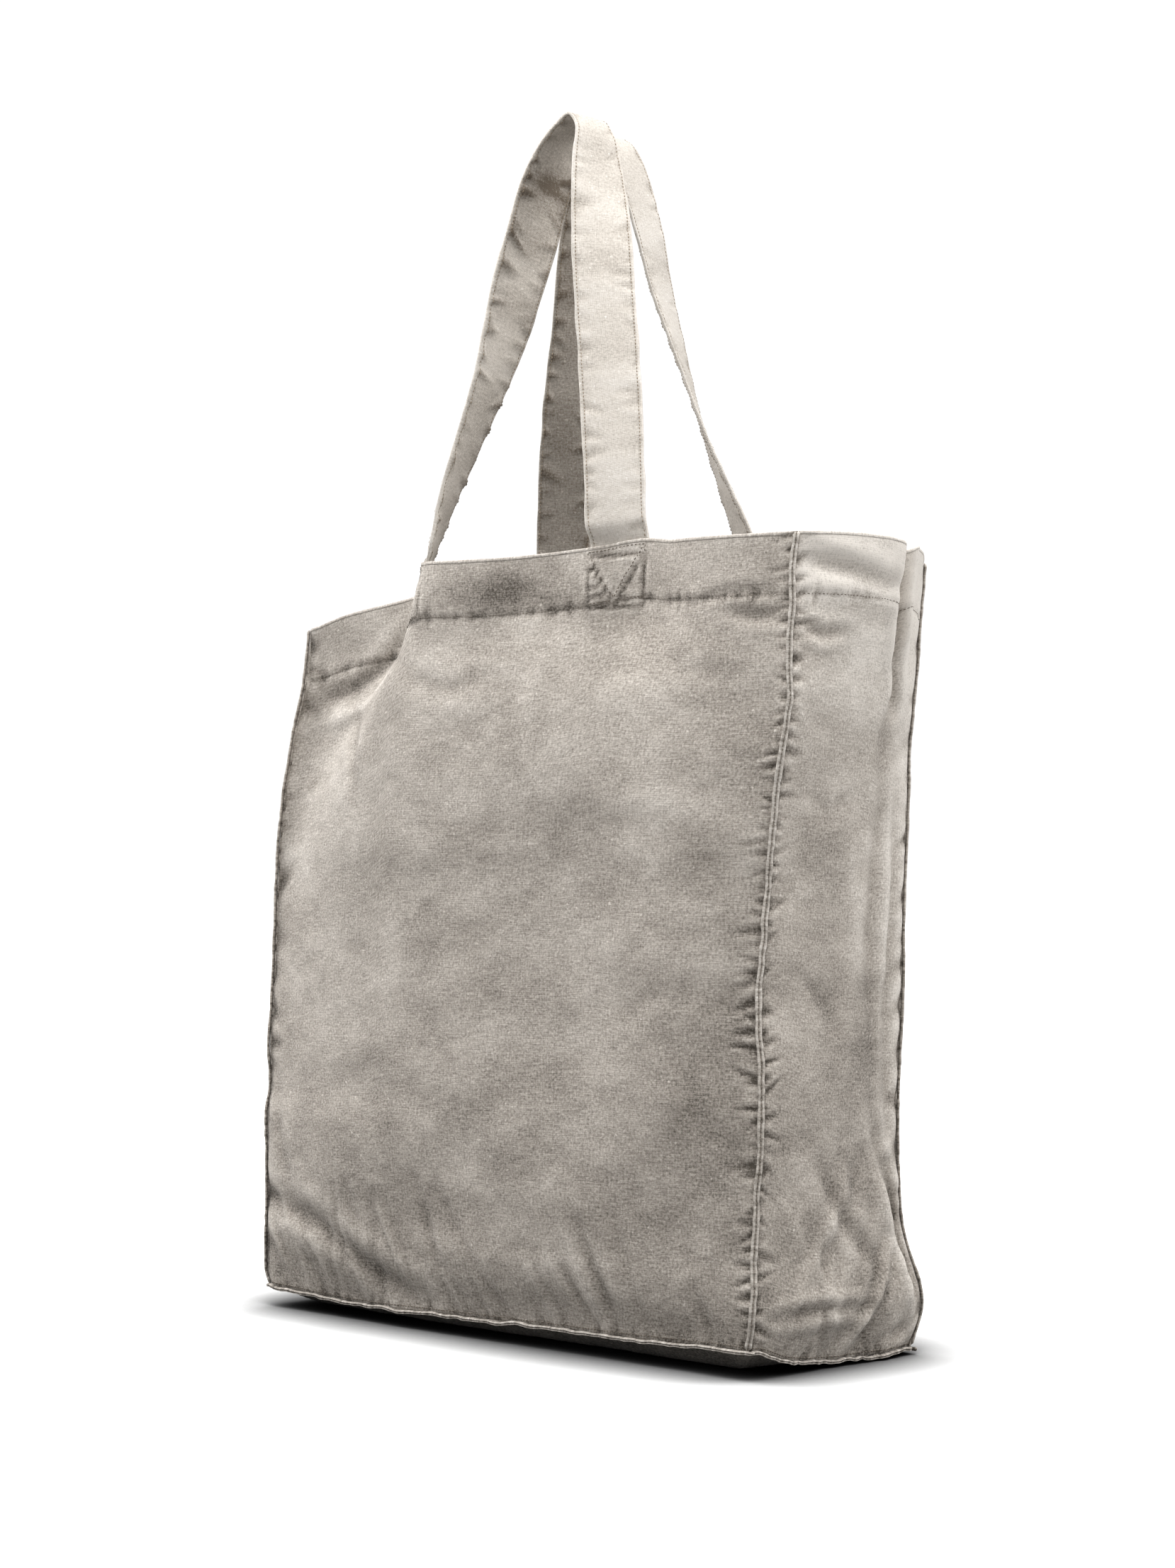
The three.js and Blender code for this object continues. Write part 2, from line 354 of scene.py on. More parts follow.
@dataclass
class BagShape:
    """The outer surface of the standing bag: where each wall's cloth lies.

    Attributes:
        base_half: Half width and half depth of the base.
        rim: Height of the rim.
        mouth_left: Where the mouth's left seams are at the rim.
        mouth_right: Where its right seams are.
        mouth_half_depth: Half the distance between front and back seams at the rim.
        leg_places: Where the handles' legs cross the rim, left and right.
        hem_depth: How far the hem is turned in.
        creases: The folds that each wall holds, laid out when the shape is made.
    """

    base_half: tuple[float, float]
    rim: float
    mouth_left: float
    mouth_right: float
    mouth_half_depth: float
    leg_places: tuple[float, float]
    hem_depth: float
    creases: dict[Wall, list[Crease]] = field(default_factory=dict)

    def __post_init__(self) -> None:
        """Lays out the folds that the walls hold."""
        half_width = self.base_half[0]
        self.creases = {
            Wall.FRONT: [
                Crease(((-212, 74), (-150, 60), (-105, 36), (-55, 18)), -3.2, 7.0, 0.6),
                Crease(((-205, 150), (-188, 96), (-170, 60)), -1.6, 6.0),
                Crease(((-150, 398), (-126, 366), (-112, 330)), -1.8, 6.0),
                Crease(((-182, 384), (-150, 390), (-128, 396), (-106, 417), (-76, 440)), 2.6, 5.0, 0.2),
                Crease(((-186, 400), (-150, 408), (-126, 420), (-104, 438)), -3.6, 5.5, 0.2),
                Crease(((205, 300), (150, 322), (90, 332)), 0.9, 9.0),
                Crease(((208, 205), (160, 215), (110, 208)), -0.9, 8.0),
                Crease(((206, 118), (168, 146), (150, 196)), -0.9, 7.0),
                Crease(((-92, 432), (-60, 405), (-30, 398), (10, 404)), -1.3, 6.0),
                Crease(((60, 430), (40, 396), (44, 356)), 1.0, 8.0),
                Crease(((120, 430), (150, 404), (196, 392)), -1.0, 6.0),
                Crease(((176, 434), (196, 430), (218, 427)), -1.8, 3.6),
                Crease(((150, 440), (178, 446), (214, 444)), -1.0, 3.0),
                *random_drags(11, 46, -half_width + 12, half_width - 12, 15.0, -0.45),
            ],
            Wall.BACK: [
                Crease(((-190, 90), (-120, 62), (-40, 24)), -2.4, 8.0),
                Crease(((180, 110), (130, 70), (90, 26)), -2.2, 7.0),
                Crease(((-30, 430), (-20, 380), (-34, 320)), 1.4, 10.0),
                *random_drags(12, 30, -half_width + 12, half_width - 12, 10.0, -0.1),
            ],
            Wall.RIGHT: [
                Crease(((34, 66), (25, 48), (14, 32), (-6, 6)), 2.4, 3.4, 0.9),
                Crease(((-72, 34), (-30, 36), (14, 33)), -1.9, 3.6, 0.9),
                Crease(((0, 124), (-8, 98), (-26, 74), (-46, 48)), 1.5, 4.5, 0.8),
                Crease(((64, 20), (50, 10), (30, 5)), 1.8, 3.5, 0.8),
                Crease(((40, 112), (46, 84), (54, 54), (61, 28)), -6.5, 4.6, 0.7),
                Crease(((20, 150), (34, 110), (44, 76)), -2.2, 4.5, 0.7),
                Crease(((-30, 120), (-8, 84), (20, 58)), -1.8, 5.0, 0.8),
                Crease(((-56, 96), (-36, 60), (-20, 30)), 1.5, 5.0),
                Crease(((20, 395), (25, 330), (18, 250), (24, 170)), -2.0, 6.0, 0.6),
                Crease(((38, 350), (43, 280), (38, 200), (42, 130)), -2.6, 5.0, 0.6),
                Crease(((-4, 300), (2, 240), (-6, 180)), 1.4, 7.0),
                Crease(((-66, 461), (-44, 458), (-20, 454), (14, 448)), -3.4, 5.0, 0.5),
                Crease(((-60, 424), (-44, 419), (-28, 421)), -2.8, 3.4, 0.5),
                Crease(((19, 500), (20, 470), (20, 440), (26, 400), (30, 380)), -7.5, 4.6, 0.5),
                Crease(((34, 440), (26, 410), (12, 372)), 1.8, 3.4, 0.5),
                Crease(((-50, 330), (-26, 318), (-2, 330)), -1.1, 5.0),
                Crease(((-52, 230), (-30, 214), (-10, 190)), -1.1, 5.0),
                *random_drags(13, 15, -70, 66, 8.0, 0.2),
            ],
            Wall.LEFT: [
                Crease(((-30, 60), (-10, 40), (20, 10)), -2.6, 4.5, 0.8),
                Crease(((20, 390), (14, 320), (22, 230), (16, 150)), -3.0, 6.0, 0.6),
                Crease(((-34, 360), (-38, 260), (-30, 180)), -2.4, 5.5, 0.6),
                Crease(((-24, 462), (-20, 430), (-26, 400)), -2.6, 4.5, 0.6),
                *random_drags(14, 15, -70, 66, 8.0, -0.2),
            ],
        }

    def width(self, wall: Wall) -> float:
        """How wide a wall is cut.

        Args:
            wall: Which wall.

        Returns:
            The width of its flat sheet.
        """
        return 2 * (self.base_half[1] if wall.is_gusset else self.base_half[0])

    def foot(self, wall: Wall, across: np.ndarray) -> np.ndarray:
        """Height of the base seam along a wall, from -1 to 1 across it.

        Args:
            wall: Which wall.
            across: Place across it.

        Returns:
            The height at each place.
        """
        levels = {
            Wall.FRONT: [(-1.0, 12.5), (-0.6, 10.0), (0.0, 12.5), (0.6, 14.0), (1.0, 16.0)],
            Wall.RIGHT: [(-1.0, 16.0), (-0.5, 7.0), (0.0, 3.4), (0.5, 3.0), (1.0, 3.4)],
            Wall.BACK: [(-1.0, 7.0), (-0.4, 4.5), (0.3, 3.4), (1.0, 3.4)],
            Wall.LEFT: [(-1.0, 12.5), (0.0, 4.5), (1.0, 7.0)],
        }
        return through(across, levels[wall])

    def head(self, wall: Wall, across: np.ndarray) -> np.ndarray:
        """Height of the rim along a wall, from -1 to 1 across it.

        Args:
            wall: Which wall.
            across: Place across it.

        Returns:
            The height at each place.
        """
        dips = {
            Wall.FRONT: [
                (-1.0, -28.0), (-0.82, -20.5), (-0.63, -16.0), (-0.51, -13.0), (-0.46, -10.0), (-0.42, -3.0),
                (-0.37, 3.5), (-0.2, 2.0), (0.0, 1.0), (0.29, 2.5), (0.44, 6.0), (0.56, 3.0), (0.8, 1.0),
                (1.0, 0.0),
            ],
            Wall.RIGHT: [
                (-1.0, 0.0), (-0.5, 0.5), (0.0, 0.5), (0.25, -2.5), (0.36, -5.0), (0.5, -1.5), (0.8, -2.5),
                (1.0, -7.0),
            ],
            Wall.BACK: [
                (-1.0, -12.0), (-0.44, 2.0), (-0.1, -3.0), (0.32, 2.0), (0.7, -2.0), (0.93, -3.0),
                (1.0, -7.0),
            ],
            Wall.LEFT: [(-1.0, -28.0), (-0.2, -22.0), (0.4, -24.0), (1.0, -12.0)],
        }
        return self.rim + through(across, dips[wall])

    def corner(self, name: str, level: np.ndarray) -> tuple[np.ndarray, np.ndarray]:
        """Where a corner seam stands in plan, from the base (level 0) to the rim (level 1).

        Args:
            name: Which corner.
            level: Place up the seam, from 0 to 1.

        Returns:
            The place along X and along Y.
        """
        half_width, half_depth = self.base_half
        side_x = 1 if "right" in name else -1
        side_y = 1 if "back" in name else -1
        mouth_x = self.mouth_right if side_x > 0 else self.mouth_left
        x = side_x * half_width * (1 - level) + mouth_x * level
        y = side_y * (half_depth * (1 - level) + self.mouth_half_depth * level)
        sway = {
            "front_right": (
                [(0, 0), (0.08, 5.0), (0.3, 2.5), (0.46, -5.5), (0.62, -4.0), (0.8, 2.0), (1, 0)],
                [(0, 0), (0.1, -3.0), (0.5, -1.0), (1, 0)],
            ),
            "front_left": (
                [(0, -3), (0.05, -15.0), (0.2, -14.0), (0.5, -17.0), (0.7, -14.0), (0.88, -2.0), (1, 0)],
                [(0, 0), (0.3, -4.0), (0.7, -3.0), (1, 3.0)],
            ),
            "back_right": (
                [(0, 12), (0.06, 14.0), (0.16, 2.0), (0.4, -2.0), (0.75, -5.0), (0.92, -2.0), (1, 0)],
                [(0, -22), (0.06, -14.0), (0.2, -20.0), (0.5, -14.0), (0.8, -4.0), (1, 0)],
            ),
            "back_left": (
                [(0, 0), (0.1, -9.0), (0.5, -12.0), (0.8, -7.0), (1, 0)],
                [(0, -2), (0.2, -10.0), (0.5, -12.0), (0.8, -6.0), (1, 0)],
            ),
        }[name]
        seed = 40 + side_x + 3 * side_y
        wander = ease(level, 0.0, 0.04) * (1 - ease(level, 0.97, 1.0))
        z = level * self.rim
        x = x + through(level, sway[0]) + 1.1 * wander * cloud(z, 0 * z, 26.0, seed)
        y = y + through(level, sway[1]) + 1.1 * wander * cloud(z, 0 * z + 9.0, 26.0, seed + 7)
        return x, y

    def bow(self, wall: Wall, level: np.ndarray) -> np.ndarray:
        """How far a wall's middle stands out beyond the line between its seams.

        Args:
            wall: Which wall.
            level: Place up the bag, from 0 to 1.

        Returns:
            The distance at each level.
        """
        tuck = 1 - np.exp(-level / 0.05)
        swell = {
            Wall.FRONT: [(0, 0), (0.12, 13), (0.35, 20), (0.6, 21), (0.8, 18), (0.92, 14), (1, 14)],
            Wall.BACK: [(0, 0), (0.12, 11), (0.35, 19), (0.6, 21), (0.8, 18), (1, 13)],
            Wall.RIGHT: [(0, 3), (0.1, 9), (0.3, 6), (0.6, 5), (0.85, 12), (0.93, 17), (1, 20)],
            Wall.LEFT: [(0, 0), (0.1, 7), (0.3, 7), (0.6, 9), (0.85, 12), (0.93, 15), (1, 18)],
        }
        return through(level, swell[wall]) * (0.35 + 0.65 * tuck)

    def slump(self, across: np.ndarray, z: np.ndarray) -> np.ndarray:
        """The front's ridge below the left leg, where the cloth falls back, and the turn at the right leg.

        Args:
            across: Place along X.
            z: Height.

        Returns:
            How far the cloth moves out.
        """
        ridge = through(z, [(190, -128), (299, -117), (391, -92), (445, -66), (476, -57)])
        strength = ease(z, 190.0, 440.0)
        softness = 1.0 + 2.2 * (1 - ease(z, 320.0, 452.0))
        place = (across - ridge) / softness
        fall = [
            (-140, 0), (-92, -7), (-40, -12), (-27, -12.5), (-13, 1), (-3, 13), (4, 14.5), (30, 12.5),
            (72, 7), (140, 0),
        ]
        turn = [(50, 0), (74, -0.5), (91, -6), (108, -11), (126, -9.5), (150, -4), (185, -0.5), (200, 0)]
        return strength * through(place, fall) + ease(z, 385.0, 450.0) * through(across, turn)

    def dents(self, wall: Wall, across: np.ndarray, z: np.ndarray) -> tuple[np.ndarray, np.ndarray]:
        """The soft relief of a wall.

        Args:
            wall: Which wall.
            across: Place along X on the front and back, or along Y on a gusset.
            z: Height.

        Returns:
            How far the cloth moves out, and the tone that goes with it: random patches, with painted light on
            raised folds and painted shade in sunken ones.
        """
        seed = 60 + 10 * list(Wall).index(wall)
        rumple = 1.25 if wall.is_gusset else 0.75
        out = 2.4 * cloud(across, z, 96.0, seed) + rumple * cloud(across, z * 1.4, 43.0, seed + 1)
        out += 0.36 * rumple * cloud(across, z * 1.5, 18.0, seed + 2)
        fine = 0.14 * cloud(across, z * 1.6, 7.0, seed + 3)
        # Painted light and shade: the tone follows the relief's small hills, lighter where the cloth stands
        # out.
        tone = 0.2 * cloud(across, z * 1.5, 18.0, seed + 2) + 1.2 * fine
        tone = tone + (0.42 if wall.is_gusset else 0.26) * cloud(across, z * 1.3, 36.0, seed + 5)
        for crease in self.creases[wall]:
            rise = crease.rise(across, z)
            out = out + rise
            # Painted shade in each crease's hollow and painted light on its ridge.
            tone = tone + 0.22 * rise
        if wall is Wall.FRONT:
            out = out + self.slump(across, z)
        return out + fine, tone

    def handle_ends(self, wall: Wall) -> list["HandleEnd"]:
        """The boxes at a wall's left and right handle ends; the front's left one is half folded away.

        Args:
            wall: Which wall.

        Returns:
            The left box and the right box.
        """
        ends = [HandleEnd(leg, self.rim, self.hem_depth) for leg in self.leg_places]
        if wall is Wall.FRONT:
            ends[0] = HandleEnd(self.leg_places[0] - 9.5, self.rim, self.hem_depth, half_width=12.0)
        return ends

    def box_relief(self, wall: Wall, across: np.ndarray, z: np.ndarray) -> tuple[np.ndarray, np.ndarray]:
        """The puckered cloth inside the stitched box at each handle end: its rise and its tone, with painted
        shade in the puckers and along the stitch rows.

        Args:
            wall: Which wall.
            across: Place along X.
            z: Height.

        Returns:
            How far the cloth moves out, and its tone.
        """
        out = np.zeros(np.shape(across))
        tone = np.zeros(np.shape(across))
        low = self.rim - self.hem_depth
        for i, end in enumerate(self.handle_ends(wall)):
            leg, half = end.leg, end.half_width
            inside = ease(across, leg - half - 3, leg - half + 2)
            inside = inside * (1 - ease(across, leg + half - 2, leg + half + 3)) * ease(z, low, low + 4)
            quilt = cloud(across, z, 8.0, 90 + i)
            out += inside * (1.0 + 0.6 * quilt)
            # The tone follows the quilted puckers: painted light on their crests, painted shade between them.
            tone += inside * (0.6 * quilt + 0.1)
            for k, level in enumerate((low + 8, low + 14, low + 26)):
                reach_in = 13.0 - 3.5 * k
                start = leg - half - 0.5
                pucker = Crease(((start, level), (start + reach_in, level + 3.0 - 2.0 * k)), -0.9, 1.5, 0.3)
                out += inside * pucker.rise(across, z)
                # Painted shade in each pucker.
                tone += 1.6 * inside * pucker.rise(across, z)
            for line in end.lines():
                groove = Crease(tuple(line), -1.0, 1.25, 0.3).rise(across, z)
                out += groove
                # Painted shade along each row of stitches.
                tone += 2.0 * groove
        return out, tone

    def surface(
        self, wall: Wall, u: np.ndarray, v: np.ndarray, lift: float = 0.0
    ) -> tuple[np.ndarray, np.ndarray]:
        """Points on a wall's outer face.

        Args:
            wall: Which wall.
            u: Place across it, from -1 to 1 between its seams.
            v: Place up it, from 0 at the base seam to 1 at the rim.
            lift: Distance out from the face.

        Returns:
            An array of points and the tone at each, with its painted light and shade.
        """
        u = np.asarray(u, float)
        v = np.asarray(v, float)
        z = self.foot(wall, u) * (1 - v) + self.head(wall, u) * v
        level = z / self.rim
        ax, ay = self.corner(wall.corners[0], level)
        bx, by = self.corner(wall.corners[1], level)
        share = (u + 1) / 2
        x = ax * (1 - share) + bx * share
        y = ay * (1 - share) + by * share
        across = y if wall.is_gusset else x
        half = 75.0 if wall.is_gusset else 205.0
        roundness = (1 - u**2) * (1 + 0.25 * u**2)
        edge = 1 - np.abs(u) ** (half / 9.0)
        relief, tone = self.dents(wall, across, z)
        out = self.bow(wall, level) * roundness + relief * edge
        seam_away = (1 - np.abs(u)) * half
        for side in (-1, 1):
            pick = (u * side) > 0
            start = np.maximum(seam_away - 1.8, 0.0)
            is_slack = side < 0 and wall is Wall.FRONT or side > 0 and wall is Wall.RIGHT
            spacing, force = (24.0, 0.7) if is_slack else (8.2, 1.0)
            pull = force * gathers(z, start, spacing, 13.0, 200 + 10 * list(Wall).index(wall) + side) * pick
            out = out + 1.9 * pull * ease(seam_away, 0.0, 3.0)
            # Painted shade in the gathers beside each corner seam.
            tone = tone + 2.1 * pull
        groove = np.exp(-((seam_away / 3.4) ** 2))
        out = out - 0.7 * groove
        # Painted shade in the groove beside each corner seam, deeper at the front right corner.
        shaded_side = {Wall.FRONT: 1, Wall.RIGHT: -1}.get(wall, 0)
        tone = tone - groove * np.where(u * shaded_side > 0, 0.85, 0.3)
        span = self.head(wall, u) - self.foot(wall, u)
        above_base = v * span
        below_rim = span - above_base
        stitch = below_rim - self.hem_depth + HEM_STITCH_INSET
        hem_pull = gathers(across, np.abs(stitch), 12.0, 6.5, 300 + list(Wall).index(wall))
        hem_edge = ease(seam_away, 1.0, 5.0)
        hem_rise = 1.1 * hem_pull - 0.8 * hump(stitch, 0.0, 1.7) + 0.7 * (1 - ease(stitch, -1.5, 2.5))
        out = out + hem_edge * hem_rise
        # Painted shade in the hem's gathers and along its stitch line.
        tone = tone + hem_edge * (1.3 * hem_pull - 0.8 * hump(stitch, 0.0, 1.4))
        base_pull = gathers(across, above_base, 10.0, 9.0, 340 + list(Wall).index(wall))
        out = out + 1.0 * base_pull * ease(above_base, 0.0, 2.0)
        # Painted shade in the gathers above the base seam and along the seam.
        tone = tone + 1.1 * base_pull - 0.7 * hump(above_base, 0.0, 3.0)
        if not wall.is_gusset:
            box, box_tone = self.box_relief(wall, across, z)
            out = out + box
            tone = tone + box_tone
        # Painted highlight along the folded rim edge.
        tone = tone + 0.5 * hump(below_rim, 0.0, 1.4)
        if wall.is_gusset:
            # Gusset tone: lighter towards the top and in the hem band, darker low down and in two soft
            # patches, and painted light on the back half, which faces the right-hand lamp.
            tone = tone + 0.75 * ease(z, 330.0, 450.0) - 0.3 * (1 - ease(z, 60.0, 200.0))
            tone = tone - 0.6 * hump(across, -24.0, 26.0) * hump(z, 300.0, 62.0)
            tone = tone + 0.7 * ease(across, 16.0, 50.0)
            tone = tone + 0.5 * ease(z, 434.0, 444.0)
            tone = tone - 0.3 * hump(across, -10.0, 40.0) * hump(z, 170.0, 60.0)
        if wall is Wall.FRONT:
            # Painted shade: low on the front by its right corner, on the hem between the fold ridge and the
            # right strap, and in a band along the middle of the hem.
            tone = tone - 0.4 * hump(across, 190.0, 62.0) * (1 - ease(z, 110.0, 300.0))
            hem_shade = hump(across, 12.0, 30.0) * hump(z, 457.0, 12.0)
            hem_shade = hem_shade + 0.3 * hump(across, 46.0, 26.0) * hump(z, 449.0, 9.0)
            tone = tone - 1.45 * hem_shade - 0.3 * hump(across, 10.0, 60.0) * ease(z, 440.0, 446.0)
        points = np.stack([x, y, z], axis=-1) + (out + lift)[..., None] * wall.outward
        return points, tone

    def u_at(self, wall: Wall, place: float, level: float = 1.0) -> float:
        """Where across a wall, from -1 to 1, a place along X or Y is at a level.

        Args:
            wall: Which wall.
            place: The place along X or Y.
            level: Place up the bag, from 0 to 1.

        Returns:
            The place across the wall.
        """
        at = np.array([level])
        low = self.corner(wall.corners[0], at)[1 if wall.is_gusset else 0][0]
        high = self.corner(wall.corners[1], at)[1 if wall.is_gusset else 0][0]
        return 2 * (place - low) / (high - low) - 1


@dataclass(frozen=True)
class HandleEnd:
    """The stitched box with a V that holds one end of a handle.

    Attributes:
        leg: Where the strap's middle crosses the rim.
        rim: Height of the rim.
        hem_depth: Depth of the hem.
        half_width: Half the box's width.
    """

    leg: float
    rim: float
    hem_depth: float
    half_width: float = 17.6

    def lines(self) -> list[list[tuple[float, float]]]:
        """The rows of stitches, as lines across and up the wall.

        Returns:
            The two ends of each row.
        """
        left = self.leg - self.half_width
        right = self.leg + self.half_width
        top = self.rim - 2.4
        bottom = self.rim - self.hem_depth + 2.6
        return [
            [(left, top), (left, bottom)],
            [(right, top), (right, bottom)],
            [(left, top), (right, top)],
            [(left, bottom), (right, bottom)],
            [(left + 1.5, top - 1.5), (self.leg, bottom + 1.5)],
            [(right - 1.5, top - 1.5), (self.leg, bottom + 1.5)],
        ]


# ---------------------------------------------------------------- meshes


def mesh_object(name: str, points: np.ndarray, faces: np.ndarray | list[list[int]]) -> bpy.types.Object:
    """Makes an object from points in millimetres and faces of four or three corners.

    Args:
        name: The object's name.
        points: Its points.
        faces: The corners of each face.

    Returns:
        The object, in the scene.
    """
    corners = faces.tolist() if isinstance(faces, np.ndarray) else faces
    mesh = bpy.data.meshes.new(name)
    mesh.from_pydata((points.reshape(-1, 3) * MM).tolist(), [], corners)
    mesh.validate()
    mesh.polygons.foreach_set("use_smooth", [True] * len(mesh.polygons))
    obj = bpy.data.objects.new(name, mesh)
    bpy.context.scene.collection.objects.link(obj)
    return obj


def grid_faces(rows: int, columns: int, closed: bool = False, flip: bool = False) -> np.ndarray:
    """Faces of a grid of points, row by row, joined round into a tube when closed.

    Args:
        rows: Number of rows.
        columns: Number of points in a row.
        closed: Whether each row joins up with itself.
        flip: Whether the faces look the other way.

    Returns:
        The four corners of each face.
    """
    r, c = np.meshgrid(np.arange(rows - 1), np.arange(columns if closed else columns - 1), indexing="ij")
    after = (c + 1) % columns
    this_row, next_row = r * columns, (r + 1) * columns
    faces = np.stack([this_row + c, this_row + after, next_row + after, next_row + c], axis=-1)
    faces = faces.reshape(-1, 4)
    return faces[:, ::-1] if flip else faces


def set_tone(obj: bpy.types.Object, tone: np.ndarray) -> None:
    """Stores the cloth's tone at each vertex: wear and random patches, with painted shade and painted light.

    Args:
        obj: The sheet.
        tone: Lighter where positive, darker where negative.
    """
    # The tone holds wear and random patches, and also painted shade in creases, puckers and grooves and
    # painted light on crests and lit sides.
    attribute = obj.data.attributes.new("wear_and_shade", "FLOAT", "POINT")
    attribute.data.foreach_set("value", np.clip(tone, -1.6, 1.6).astype(np.float32).ravel())


def set_uv(obj: bpy.types.Object, uv: np.ndarray) -> None:
    """Stores a flat pattern position, in metres, at each corner of each face.

    Args:
        obj: The sheet.
        uv: The position of each vertex.
    """
    layer = obj.data.uv_layers.new(name="UVMap")
    corner_vertex = np.empty(len(obj.data.loops), dtype=np.int32)
    obj.data.loops.foreach_get("vertex_index", corner_vertex)
    layer.data.foreach_set("uv", uv.reshape(-1, 2)[corner_vertex].astype(np.float32).ravel())


def select_only(obj: bpy.types.Object) -> None:
    """Makes an object the only one selected, and the active one.

    Args:
        obj: The object.
    """
    for other in bpy.context.view_layer.objects:
        other.select_set(False)
    bpy.context.view_layer.objects.active = obj
    obj.select_set(True)


def thicken(obj: bpy.types.Object, thickness: float) -> None:
    """Gives a sheet its thickness, inwards from its face, and applies it.

    Args:
        obj: The sheet.
        thickness: How thick it gets.
    """
    select_only(obj)
    modifier = obj.modifiers.new("thickness", "SOLIDIFY")
    modifier.thickness = thickness * MM
    modifier.offset = -1.0
    bpy.ops.object.modifier_apply(modifier=modifier.name)


def dense_near_ends(length: float, fine: float, coarse: float, reach: float) -> np.ndarray:
    """Places from 0 to 1 along a length, closer together within reach of both ends.

    Args:
        length: The whole length.
        fine: Step near the ends.
        coarse: Step elsewhere.
        reach: How far the fine steps go.

    Returns:
        The places.
    """
    edge = np.arange(0.0, reach, fine)
    middle_steps = max(2, int(round((length - 2 * reach) / coarse)))
    middle = np.linspace(reach, length - reach, middle_steps + 1)
    return np.concatenate([edge, middle, length - edge[::-1]]) / length


def finish_piece(
    obj: bpy.types.Object, body: str | None, nodes: Sequence[str], material: bpy.types.Material
) -> None:
    """Dresses a piece, hangs it on its body and hides the CAD nodes it replaces.

    Args:
        obj: The piece.
        body: The body it moves with, or None to leave it unparented.
        nodes: The CAD nodes it replaces.
        material: Its finish.
    """
    obj.data.materials.clear()
    obj.data.materials.append(material)
    if body:
        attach(obj, body)
    if nodes:
        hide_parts(*nodes)
    LOG.info("%s: %d faces, replaces %s", obj.name, len(obj.data.polygons), ", ".join(nodes) or "nothing")


# ---------------------------------------------------------------- finishes


def socket(
    tree: bpy.types.NodeTree, name: str, direction: str, kind: str, value: float | None = None
) -> None:
    """Adds an input or output to a node group.

    Args:
        tree: The node group.
        name: The socket's name.
        direction: INPUT or OUTPUT.
        kind: The socket's type.
        value: Its default.
    """
    item = tree.interface.new_socket(name=name, in_out=direction, socket_type=kind)
    if value is not None:
        item.default_value = value


@dataclass
class NodeSketch:
    """Adds nodes to a tree in short lines."""

    tree: bpy.types.NodeTree

    def node(self, kind: str, **settings: object) -> bpy.types.Node:
        """Adds a node and sets its properties.

        Args:
            kind: The node's type.
            settings: Its properties, by name.

        Returns:
            The node.
        """
        node = self.tree.nodes.new(kind)
        for name, value in settings.items():
            setattr(node, name, value)
        return node

    def feed(self, target: bpy.types.NodeSocket, value: object) -> None:
        """Links a socket to an input, or sets the input's own value.

        Args:
            target: The input.
            value: A socket, or a plain value.
        """
        if isinstance(value, bpy.types.NodeSocket):
            self.tree.links.new(value, target)
        else:
            target.default_value = value

    def math(self, operation: str, *values: object) -> bpy.types.NodeSocket:
        """A Math node's result.

        Args:
            operation: What it does.
            values: What it works on.

        Returns:
            The result.
        """
        node = self.node("ShaderNodeMath", operation=operation)
        for target, value in zip(node.inputs, values):
            self.feed(target, value)
        return node.outputs[0]

    def scaled(self, vector: object, scale: tuple[float, float, float]) -> bpy.types.NodeSocket:
        """A vector stretched along its axes.

        Args:
            vector: The vector.
            scale: The stretch along each axis.

        Returns:
            The stretched vector.
        """
        node = self.node("ShaderNodeVectorMath", operation="MULTIPLY")
        self.feed(node.inputs[0], vector)
        node.inputs[1].default_value = scale
        return node.outputs[0]

    def noise(
        self, vector: object, scale: float, detail: float = 2.0, roughness: float = 0.5
    ) -> bpy.types.NodeSocket:
        """A Noise Texture's value.

        Args:
            vector: Where to read it.
            scale: Its scale.
            detail: Its detail.
            roughness: Its roughness.

        Returns:
            The value.
        """
        node = self.node("ShaderNodeTexNoise")
        self.feed(node.inputs["Vector"], vector)
        node.inputs["Scale"].default_value = scale
        node.inputs["Detail"].default_value = detail
        node.inputs["Roughness"].default_value = roughness
        return node.outputs[0]


